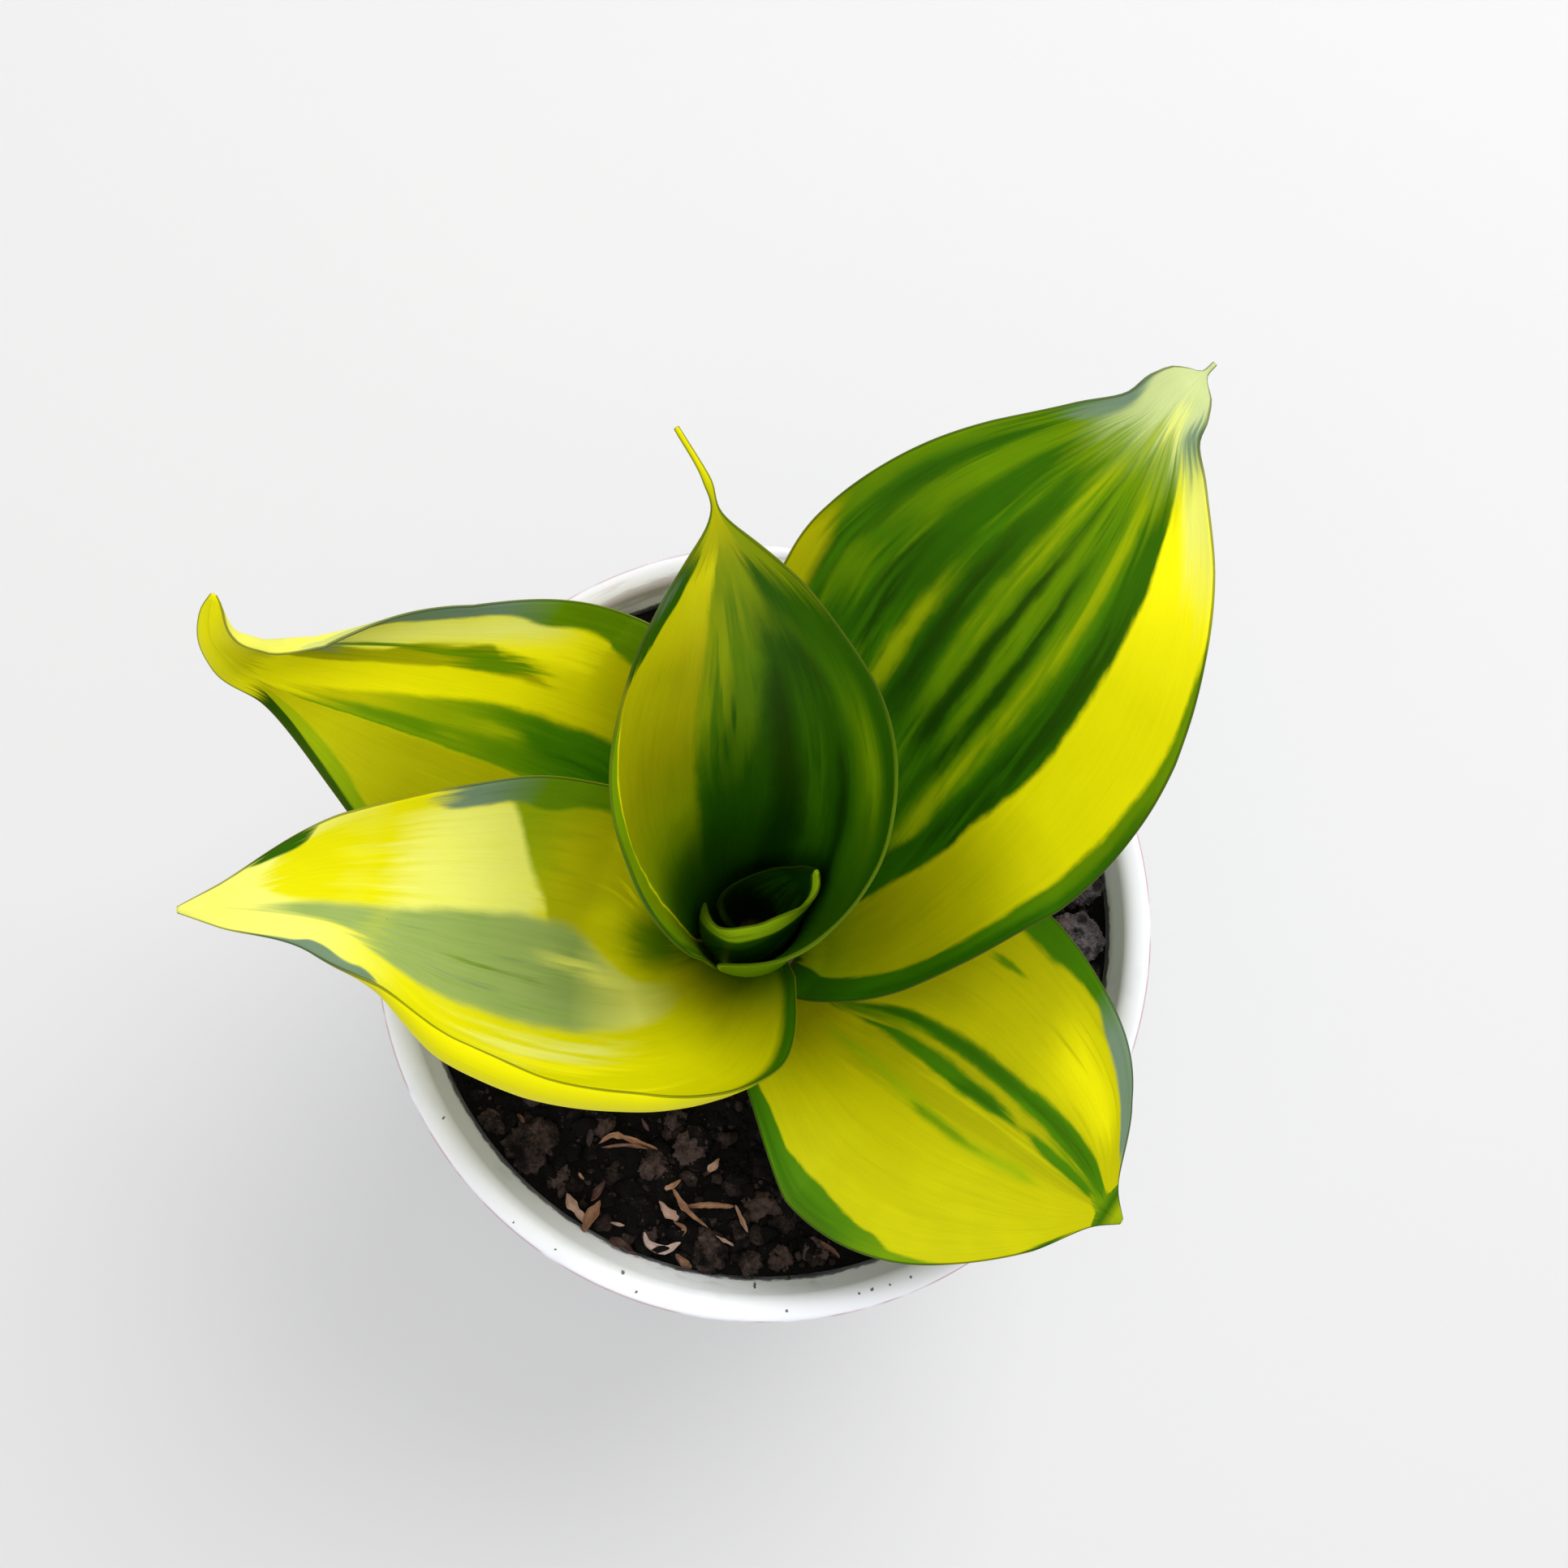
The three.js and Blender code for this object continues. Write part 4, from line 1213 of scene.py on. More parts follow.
YOUNG_LEAF = [
    clasp(0, LEAF_FOOT, 31, 3, (155, 155)),
    clasp(0.08, LEAF_FOOT + 4, 31, 3.1, (150, 165)),
    clasp(0.3, 0, 31, 5.2, (135, 200), -2.6, 1),
    station(0.54, 2.6, 5.4, 11, 31, (10.5, 30.5), (95, 235)),
    station(0.66, 4.3, 7.4, 17, 31, (6.8, 24), (75, 184)),
    station(0.78, 6.2, 8.8, 23, 31, (4.4, 15.8), (65, 152)),
    station(0.88, 7.7, 9.4, 28, 31, (3, 8.6), (60, 118)),
    station(1, 8.9, 9.9, 34, 31, (0.6, 0.6), (0, 0)),
]
FUNNEL_LEAF = [
    clasp(0, LEAF_FOOT, 92, 5.4, (140, 160)),
    clasp(0.04, LEAF_FOOT + 5, 92, 5.6, (142, 170)),
    clasp(0.13, 0, 92, 8.8, (146, 192), -2.6, 0.2),
    station(0.26, -3.7, 14.6, 15, 92, (30, 40.6), (147, 204)),
    station(0.38, -2.2, 21.4, 30, 94, (37.9, 41.8), (133, 163)),
    station(0.55, -2.5, 33.3, 52, 95, (39.9, 39.7), (110, 113)),
    station(0.7, -3.6, 44.3, 70, 96, (26, 27.5), (70, 75)),
    station(0.82, -5.5, 53.8, 86, 98, (12, 12), (55, 55)),
    station(0.88, -6.7, 58.9, 95, 104, (1.6, 1.6), (40, 40)),
    station(0.94, -8.2, 64.1, 99, 112, (0.6, 0.6), (20, 20)),
    station(1, -12.3, 70.6, 103, 120, (0.4, 0.4), (0, 0)),
]
LOWER_LEFT_LEAF = [
    clasp(0, LEAF_FOOT, 212, 7.6, (110, 100)),
    clasp(0.03, LEAF_FOOT + 4, 212, 7.9, (110, 100)),
    clasp(0.1, -2, 212, 11.7, (108, 72)),
    station(0.22, -20.1, -9.7, 11, 204, (34.5, 25), (92, 75)),
    station(0.38, -32, -9, 22, 194, (33.5, 36), (45, 65), (100, 0)),
    station(0.5, -42.1, -6.3, 29.5, 187, (31.6, 36.2), (38, 57), (125, 0)),
    station(0.6, -51.3, -3.8, 35, 182, (26.3, 33.5), (30, 50), (160, 0)),
    station(0.7, -61.8, -0.8, 39.3, 179, (12.3, 27), (25, 45), (120, 0)),
    station(0.8, -72.9, 2, 42, 178, (5.6, 18.5), (20, 40)),
    station(0.93, -88.4, 3.8, 44, 178, (3.2, 3.8), (20, 20)),
    station(1, -95.2, 3.4, 44, 178, (0.5, 0.5), (0, 0)),
]
RIGHT_LEAF = [
    clasp(0, LEAF_FOOT, 25, 9.9, (74, 98)),
    clasp(0.03, LEAF_FOOT + 4, 25, 10.2, (74, 98)),
    clasp(0.1, -4, 28, 14.2, (54, 96)),
    station(0.24, 19.1, 15.2, 13, 35, (28, 31.2), (66, 72)),
    station(0.42, 28.6, 31.1, 30, 43, (36, 38.5), (50, 50)),
    station(0.62, 42.2, 49.8, 46, 50, (38.5, 34.8), (35, 35)),
    station(0.8, 55.6, 68.3, 55, 54, (24.2, 20.4), (35, 35)),
    station(0.86, 60.6, 75.8, 56, 54, (14.8, 12.3), (40, 40)),
    station(0.9, 63.9, 80.7, 56, 54, (8.8, 7), (50, 50)),
    station(0.93, 66.5, 84.4, 56, 53, (7.2, 5.6), (50, 40)),
    station(0.95, 68.3, 86.7, 56, 52, (5, 4), (40, 35)),
    station(0.965, 69.6, 88.2, 55.5, 52, (2.4, 1.9), (25, 25)),
    station(0.975, 70.4, 89, 55, 52, (0.9, 0.9), (15, 15)),
    station(1, 72.4, 90.9, 55, 52, (0.4, 0.4), (0, 0)),
]
UPPER_LEFT_LEAF = [
    clasp(0, LEAF_FOOT, 160, 12, (80, 62)),
    clasp(0.03, LEAF_FOOT + 4, 160, 12.2, (80, 62)),
    clasp(0.1, -5, 160, 16.8, (70, 60)),
    station(0.24, -27.5, 19.7, 7, 161, (22, 33), (40, 65)),
    station(0.42, -41, 26.3, 18, 163, (24, 35.6), (20, 50)),
    station(0.62, -60.4, 33.3, 30, 164, (20, 25.6), (22, 45)),
    station(0.8, -80.7, 40.1, 42, 158, (3.3, 15.8), (10, 75), (0, 55)),
    station(0.89, -86.2, 43.7, 50, 142, (3, 9.6), (-30, 75), (0, 80)),
    station(0.95, -87.9, 47.6, 56, 112, (1.9, 6), (-30, 60), (0, 80)),
    station(0.98, -87.1, 50.6, 59, 90, (1.4, 3), (-10, 40), (0, 60)),
    station(1, -86.2, 52.6, 61, 80, (0.5, 0.5), (0, 0)),
]
LOWER_RIGHT_LEAF = [
    clasp(0, LEAF_FOOT, 306, 14.1, (80, 68)),
    clasp(0.05, LEAF_FOOT + 3.5, 306, 14.3, (80, 68)),
    clasp(0.13, -8, 307, 19, (66, 56)),
    station(0.4, 24.5, -25, 3, 315, (38.6, 32.4), (35, 35)),
    station(0.65, 41.2, -36, 10, 318, (33, 27.8), (25, 25)),
    station(0.85, 53.7, -44.9, 12, 320, (18.6, 13), (20, 20)),
    station(0.95, 59.3, -48.7, 12, 320, (4.6, 3.1), (20, 20)),
    station(1, 62.4, -50.6, 12, 350, (0.5, 0.5), (0, 0)),
]


def stripe(tone, softness, lines, fade=(0.05, 0.05), streaks=0.0):
    """A stripe along a leaf, that later stripes cover. It has a colour, or (share, colour) stops
    along the leaf, the softness of its sides, lines of (share, right side, left side) where the right
    margin is -1 and the left margin is 1, the lengths over which it fades in and out at its ends, and
    how far it is broken up into streaks."""
    return (tone, softness, lines, fade, streaks)


WHOLE = [(0, -1.3, 1.3), (1, -1.3, 1.3)]
YOUNG_STRIPES = [
    # Painted shade: the young leaf starts near black all over, as shade inside its roll.
    stripe("black", 0.05, WHOLE),
    stripe("deep", 0.1, [(0.3, -0.9, 0.9), (0.8, -0.9, 0.9)], (0.1, 0.1), 0.5),
    stripe("green", 0.06, [(0.3, -1.3, -0.84), (0.66, -1.3, -0.8), (0.8, -1.3, -0.7), (0.9, -1.3, -0.3),
        (1, -1.3, 0.5)], (0.1, 0), 0.4),
    stripe("fresh", 0.025, [(0.2, -1.3, -0.91), (0.54, -1.3, -0.9), (0.66, -1.3, -0.87),
        (0.78, -1.3, -0.78), (0.88, -1.3, -0.6), (0.95, -1.3, -0.2), (1, -1.3, 0.6)]),
    stripe("green", 0.02, [(0.62, -0.98, -0.92), (0.7, -0.96, -0.9), (0.76, -0.9, -0.86)], (0.04, 0.04),
        0.5),
    stripe("moss", 0.04, [(0.1, 0.9, 1.3), (0.6, 0.9, 1.3)], (0.1, 0.1)),
]
FUNNEL_STRIPES = [
    # Partly painted shade: the funnel leaf darkens to deep green and near black towards its foot, deep in
    # the funnel.
    stripe([(0.05, "black"), (0.16, "deep"), (0.5, "green"), (0.66, "moss"), (0.84, "olive")], 0.05,
        WHOLE),
    stripe([(0.16, "deep"), (0.4, "green"), (0.68, "green"), (0.8, "deep")], 0.06, [(0.1, -1.3, -0.4),
        (0.5, -1.3, -0.42), (0.72, -1.3, -0.4), (0.84, -1.3, -0.3)], (0.1, 0.06)),
    stripe("moss", 0.08, [(0.42, -0.74, -0.54), (0.6, -0.74, -0.52), (0.72, -0.7, -0.5)], (0.14, 0.1)),
    stripe("lime", 0.06, [(0.5, -0.7, -0.6), (0.66, -0.7, -0.58)], (0.1, 0.1), 0.5),
    stripe("deep", 0.08, [(0.36, -1.3, -0.84), (0.56, -1.3, -0.8), (0.78, -1.3, -0.7)], (0.12, 0.1)),
    stripe("deep", 0.05, [(0.24, -0.2, 0.22), (0.4, -0.2, 0.22), (0.5, -0.2, 0.16), (0.7, -0.2, 0.02)],
        (0.06, 0.14)),
    stripe("moss", 0.04, [(0.4, 0.02, 0.2), (0.6, -0.06, 0.2), (0.82, -0.1, 0.16)], (0.2, 0.06), 0.46),
    stripe("deep", 0.07, [(0.15, -0.52, 0), (0.4, -0.5, -0.04), (0.6, -0.46, -0.08),
        (0.8, -0.36, -0.14)], (0.1, 0.1)),
    stripe("green", 0.04, [(0.3, -0.36, -0.24), (0.5, -0.36, -0.24), (0.66, -0.34, -0.24)], (0.1, 0.1),
        0.5),
    stripe("black", 0.05, [(0.1, -0.24, -0.02), (0.4, -0.22, -0.08), (0.6, -0.2, -0.1),
        (0.74, -0.22, -0.14)], (0.1, 0.12)),
    stripe("black", 0.03, [(0.1, -0.5, -0.36), (0.42, -0.46, -0.4), (0.6, -0.45, -0.4)], (0.1, 0.1)),
    stripe("black", 0.06, [(0.62, -0.44, -0.24), (0.74, -0.42, -0.22)], (0.08, 0.08)),
    stripe("deep", 0.06, [(0.68, -0.56, -0.3), (0.76, -0.5, -0.26), (0.85, -0.36, -0.22)], (0.1, 0.03)),
    # Partly painted shade: the yellow band darkens to deep green towards the foot.
    stripe([(0.16, "deep"), (0.26, "green"), (0.34, "moss"), (0.44, "olive"), (0.56, "brass"),
        (0.7, "gold"), (0.82, "yellow")], 0.03, [(0.16, 0.27, 0.8), (0.4, 0.26, 0.8), (0.5, 0.24, 0.8),
        (0.6, 0.23, 0.9), (0.7, 0.21, 1), (0.8, 0.18, 1.2), (0.88, 0.1, 1.3)]),
    stripe("olive", 0.04, [(0.48, 0.14, 0.26), (0.62, 0.08, 0.24), (0.82, 0.02, 0.2)], (0.16, 0.06),
        0.44),
    stripe("olive", 0.05, [(0.7, 0, 0.06), (0.84, -0.16, 0.06)], (0.1, 0.04), 0.5),
    stripe("gold", 0.08, [(0.82, -0.24, 0.5), (0.88, -0.6, 0.8), (0.95, -1.3, 1.3)], (0.06, 0.05)),
    stripe("deep", 0.03, [(0.74, 0.97, 1.3), (0.78, 0.7, 1.3), (0.83, 0.56, 1.3), (0.86, 0.7, 1.3)],
        (0.01, 0.01)),
    stripe("slate", 0.05, [(0.8, 0.78, 1.3), (0.84, 0.72, 1.3)], (0.02, 0.02), 0.4),
    stripe("bright", 0.008, [(0.1, 0.715, 0.74), (0.45, 0.725, 0.75), (0.6, 0.81, 0.84),
        (0.72, 0.94, 0.97)]),
    stripe([(0.06, "green"), (0.24, "lime")], 0.01, [(0.02, 0.74, 1.3), (0.45, 0.74, 1.3),
        (0.52, 0.76, 1.3), (0.6, 0.83, 1.3), (0.73, 0.98, 1.3)]),
    stripe("olive", 0.03, [(0.1, 0.76, 0.86), (0.45, 0.77, 0.88), (0.6, 0.86, 0.94)], (0.1, 0.04),
        0.42),
    stripe("green", 0.04, [(0.1, 0.92, 1.3), (0.5, 0.93, 1.3), (0.62, 0.97, 1.3)], (0, 0.08), 0.4),
    stripe("lime", 0.01, [(0.1, -1.3, -0.985), (0.72, -1.3, -0.985)], (0, 0.1)),
    stripe("yellow", 0.05, [(0.9, -1.3, 1.3), (1, -1.3, 1.3)]),
]
LOWER_LEFT_STRIPES = [
    # Partly painted shade: the leaf is greener towards its foot, which lies under the other leaves.
    stripe([(0, "green"), (0.06, "lime"), (0.14, "gold"), (0.24, "yellow"), (0.74, "yellow"),
        (0.84, "pale")], 0.05, WHOLE),
    # Painted reflection: these pale stripes, and the pale end of the first colour at the tip, stand for
    # light reflected off the leaf.
    stripe("pale", 0.12, [(0.66, 0.1, 0.9), (0.8, 0, 1.1), (1, -1.2, 1.3)], (0.14, 0)),
    stripe("pale", 0.06, [(0.46, -0.6, -0.1), (0.56, -0.84, -0.1), (0.74, -0.86, -0.12)], (0.04, 0.06)),
    # Partly painted shade: this half darkens to deep green at the foot.
    stripe([(0.04, "deep"), (0.1, "moss"), (0.16, "gold"), (0.28, "yellow"), (0.42, "gold"),
        (0.56, "olive")], 0.04, [(0.05, -1.3, 0), (0.2, -1.3, -0.1), (0.35, -1.3, -0.18),
        (0.45, -1.3, -0.22), (0.48, -1.3, -0.34), (0.53, -1.3, -0.52), (0.58, -1.3, -0.76),
        (0.63, -1.3, -1)], (0, 0.01)),
    # Painted shadow: the soft moss patch near the foot is the funnel leaf's shadow.
    stripe("moss", 0.16, [(0.1, -0.6, -0.1), (0.25, -0.5, -0.16), (0.36, -0.4, -0.24)], (0.06, 0.16)),
    stripe("gold", 0.1, [(0.2, -0.86, -0.5), (0.34, -0.8, -0.44), (0.44, -0.76, -0.34),
        (0.5, -0.74, -0.44)], (0.06, 0.03), 0.42),
    stripe("yellow", 0.05, [(0.73, -0.86, -0.2), (0.78, -0.9, -0.16), (0.84, -0.86, -0.2),
        (0.88, -0.7, -0.44)], (0.05, 0.02)),
    stripe([(0.16, "gold"), (0.27, "pale"), (0.4, "grey")], 0.04, [(0.14, 0.02, 0.12),
        (0.24, -0.02, 0.18), (0.34, -0.16, 0.24), (0.4, -0.24, 0.27), (0.48, -0.26, 0.28),
        (0.6, -0.23, 0.29), (0.68, -0.19, 0.33), (0.71, -0.17, 0.3), (0.76, -0.16, 0.16)],
        (0.08, 0.06)),
    stripe("grey", 0.05, [(0.7, -0.17, 0.16), (0.8, -0.16, 0), (0.9, -0.08, 0.02)], (0.04, 0.08)),
    stripe("moss", 0.05, [(0.36, 0.02, 0.24), (0.5, -0.04, 0.24), (0.68, -0.1, 0.28)], (0.08, 0.1),
        0.64),
    stripe("slate", 0.08, [(0.46, -0.06, 0.28), (0.6, -0.1, 0.3), (0.72, -0.12, 0.3)], (0.1, 0.06),
        0.68),
    stripe("pale", 0.05, [(0.2, 0.03, 0.09), (0.35, -0.1, 0), (0.5, -0.14, -0.02)], (0.06, 0.14), 0.46),
    stripe("pale", 0.07, [(0.28, 0.28, 0.36), (0.4, 0.33, 0.46), (0.5, 0.36, 0.5), (0.62, 0.34, 0.46)],
        (0.08, 0.1), 0.46),
    stripe("bright", 0.1, [(0.24, 0.3, 0.6), (0.34, 0.4, 0.7), (0.5, 0.44, 0.8), (0.68, 0.44, 0.8)],
        (0.06, 0.08), 0.6),
    stripe([(0.36, "moss"), (0.56, "moss"), (0.64, "slate")], 0.02, [(0.3, -1.3, -0.86),
        (0.38, -1.3, -0.84), (0.46, -1.3, -0.86), (0.54, -1.3, -0.81), (0.6, -1.3, -0.85),
        (0.66, -1.3, -0.84), (0.7, -1.3, -0.9)], (0.06, 0.03)),
    stripe("deep", 0.03, [(0.82, -1.3, -0.98), (0.84, -1.3, -0.82), (0.87, -1.3, -0.86),
        (0.9, -1.3, -1)], (0.01, 0.01)),
    stripe("slate", 0.04, [(0.69, 0.9, 1.3), (0.72, 0.66, 1.3), (0.75, 0.74, 1.3), (0.79, 0.66, 1.3),
        (0.83, 0.88, 1.3), (0.9, 1, 1.3)], (0.01, 0.04)),
    stripe("green", 0.05, [(0.05, 0.86, 1.3), (0.2, 0.9, 1.3), (0.28, 0.93, 1.3), (0.36, 0.99, 1.3)],
        (0, 0.06)),
]
RIGHT_STRIPES = [
    stripe([(0.1, "deep"), (0.4, "green"), (0.72, "green"), (0.84, "moss"), (0.9, "moss")], 0.05,
        WHOLE),
    stripe("deep", 0.05, WHOLE, (0, 0), 0.52),
    stripe("moss", 0.06, [(0.3, -0.3, 1), (0.9, -0.3, 1)], (0.1, 0.05), 0.62),
    stripe("moss", 0.04, [(0.22, -0.16, -0.04), (0.35, -0.2, -0.07), (0.5, -0.24, -0.12),
        (0.85, -0.32, -0.18)], (0.06, 0.05)),
    stripe("olive", 0.03, [(0.24, -0.14, -0.07), (0.35, -0.17, -0.1), (0.5, -0.22, -0.16),
        (0.87, -0.3, -0.22)], (0.06, 0.05), 0.48),
    stripe("black", 0.025, [(0.34, -0.07, -0.01), (0.5, -0.12, -0.06), (0.76, -0.13, -0.08)],
        (0.08, 0.1), 0.36),
    stripe("moss", 0.03, [(0.4, -0.05, 0.02), (0.6, -0.06, 0.03), (0.87, -0.08, 0.02)], (0.1, 0.05),
        0.4),
    stripe("black", 0.025, [(0.36, 0.02, 0.08), (0.5, 0.02, 0.11), (0.64, 0.02, 0.08),
        (0.8, 0.01, 0.05)], (0.08, 0.12), 0.34),
    stripe("moss", 0.03, [(0.42, 0.1, 0.19), (0.6, 0.09, 0.2), (0.87, 0.06, 0.19)], (0.1, 0.05), 0.3),
    stripe("olive", 0.03, [(0.5, 0.12, 0.18), (0.7, 0.11, 0.18), (0.87, 0.09, 0.16)], (0.1, 0.05),
        0.46),
    stripe("deep", 0.04, [(0.38, 0.18, 0.34), (0.5, 0.2, 0.35), (0.7, 0.2, 0.34), (0.86, 0.2, 0.33)],
        (0.06, 0.08)),
    stripe("black", 0.05, [(0.4, 0.22, 0.31), (0.6, 0.23, 0.32), (0.76, 0.24, 0.31)], (0.08, 0.1),
        0.42),
    stripe("olive", 0.03, [(0.4, 0.35, 0.45), (0.55, 0.35, 0.42), (0.66, 0.35, 0.4)], (0.06, 0.08),
        0.4),
    stripe("deep", 0.05, [(0.5, 0.43, 0.6), (0.7, 0.4, 0.6), (0.87, 0.42, 0.6)], (0.1, 0.06), 0.3),
    stripe("black", 0.03, [(0.46, 0.5, 0.56), (0.58, 0.52, 0.6), (0.68, 0.54, 0.58)], (0.06, 0.08),
        0.4),
    stripe("moss", 0.05, [(0.62, 0.62, 0.8), (0.74, 0.61, 0.79), (0.86, 0.64, 0.76)], (0.08, 0.06),
        0.3),
    stripe("moss", 0.03, [(0.5, 0.66, 0.8), (0.64, 0.66, 0.8)], (0.08, 0.06), 0.44),
    stripe("deep", 0.03, [(0.6, 0.8, 0.9), (0.74, 0.78, 0.88), (0.86, 0.8, 0.86)], (0.1, 0.04), 0.3),
    stripe("moss", 0.03, [(0.56, 0.89, 1.3), (0.7, 0.92, 1.3), (0.84, 0.95, 1.3)], (0.1, 0.04)),
    stripe("gold", 0.04, [(0.48, 0.88, 1.3), (0.56, 0.88, 1.3), (0.64, 0.95, 1.3)], (0.04, 0.05), 0.3),
    stripe("deep", 0.025, [(0.1, -0.24, -0.04), (0.25, -0.29, -0.09), (0.3, -0.36, -0.16),
        (0.4, -0.42, -0.22), (0.5, -0.47, -0.27), (0.6, -0.48, -0.3), (0.7, -0.5, -0.34),
        (0.8, -0.52, -0.38), (0.88, -0.54, -0.44)], (0.04, 0.03)),
    stripe("black", 0.04, [(0.24, -0.3, -0.18), (0.4, -0.38, -0.26), (0.6, -0.44, -0.34),
        (0.76, -0.46, -0.38)], (0.1, 0.1), 0.44),
    # Partly painted shade and highlight: the yellow half darkens towards the foot and brightens towards the
    # tip.
    stripe([(0.1, "olive"), (0.2, "brass"), (0.32, "gold"), (0.46, "yellow"), (0.64, "yellow"),
        (0.76, "bright"), (0.85, "bright")], 0.02, [(0.04, -1.3, -0.18), (0.2, -1.3, -0.23),
        (0.25, -1.3, -0.27), (0.3, -1.3, -0.33), (0.4, -1.3, -0.39), (0.5, -1.3, -0.45),
        (0.6, -1.3, -0.46), (0.7, -1.3, -0.49), (0.8, -1.3, -0.52), (0.9, -1.3, -0.6)], (0, 0.02)),
    # Painted highlight: the pale band by the right margin near the tip.
    stripe("pale", 0.08, [(0.74, -1, -0.8), (0.82, -1, -0.68), (0.9, -1.3, -0.62)], (0.08, 0.02)),
    stripe([(0.1, "deep"), (0.3, "green"), (0.5, "moss")], 0.02, [(0, -1.3, -0.6), (0.1, -1.3, -0.72),
        (0.2, -1.3, -0.8), (0.3, -1.3, -0.86), (0.4, -1.3, -0.87), (0.5, -1.3, -0.89),
        (0.6, -1.3, -0.93), (0.7, -1.3, -0.97), (0.76, -1.3, -1)]),
    stripe("deep", 0.03, [(0.1, -1.3, -0.9), (0.3, -1.3, -0.94), (0.5, -1.3, -0.96),
        (0.6, -1.3, -0.985)], (0, 0.06)),
    stripe("olive", 0.2, [(0.8, -0.56, 0.5), (0.88, -0.9, 0.9)], (0.08, 0.06), 0.4),
    # Painted sheen: the grey and whitish stripes towards the tip stand for light reflected off the bent tip.
    stripe("grey", 0.2, [(0.83, -0.56, 0.5), (0.88, -1, 0.9), (1, -1.3, 1.3)], (0.08, 0)),
    stripe("silver_sheen", 0.2, [(0.86, -0.9, 0.7), (0.9, -1.2, 1.1), (1, -1.3, 1.3)], (0.06, 0)),
    stripe("olive", 0.06, [(0.85, -0.4, 0.4), (0.92, -0.4, 0.3)], (0.03, 0.05), 0.52),
    stripe("pale", 0.08, [(0.88, -0.5, -0.1), (0.94, -0.5, 0)], (0.04, 0.04), 0.46),
    stripe("slate", 0.09, [(0.84, 0.9, 1.3), (0.87, 0.7, 1.3), (0.91, 0.8, 1.3), (0.94, 1, 1.3)],
        (0.03, 0.03)),
    stripe("slate", 0.1, [(0.86, -0.8, -0.6), (0.9, -1.1, -0.64), (0.93, -1.1, -0.8)], (0.03, 0.02)),
]
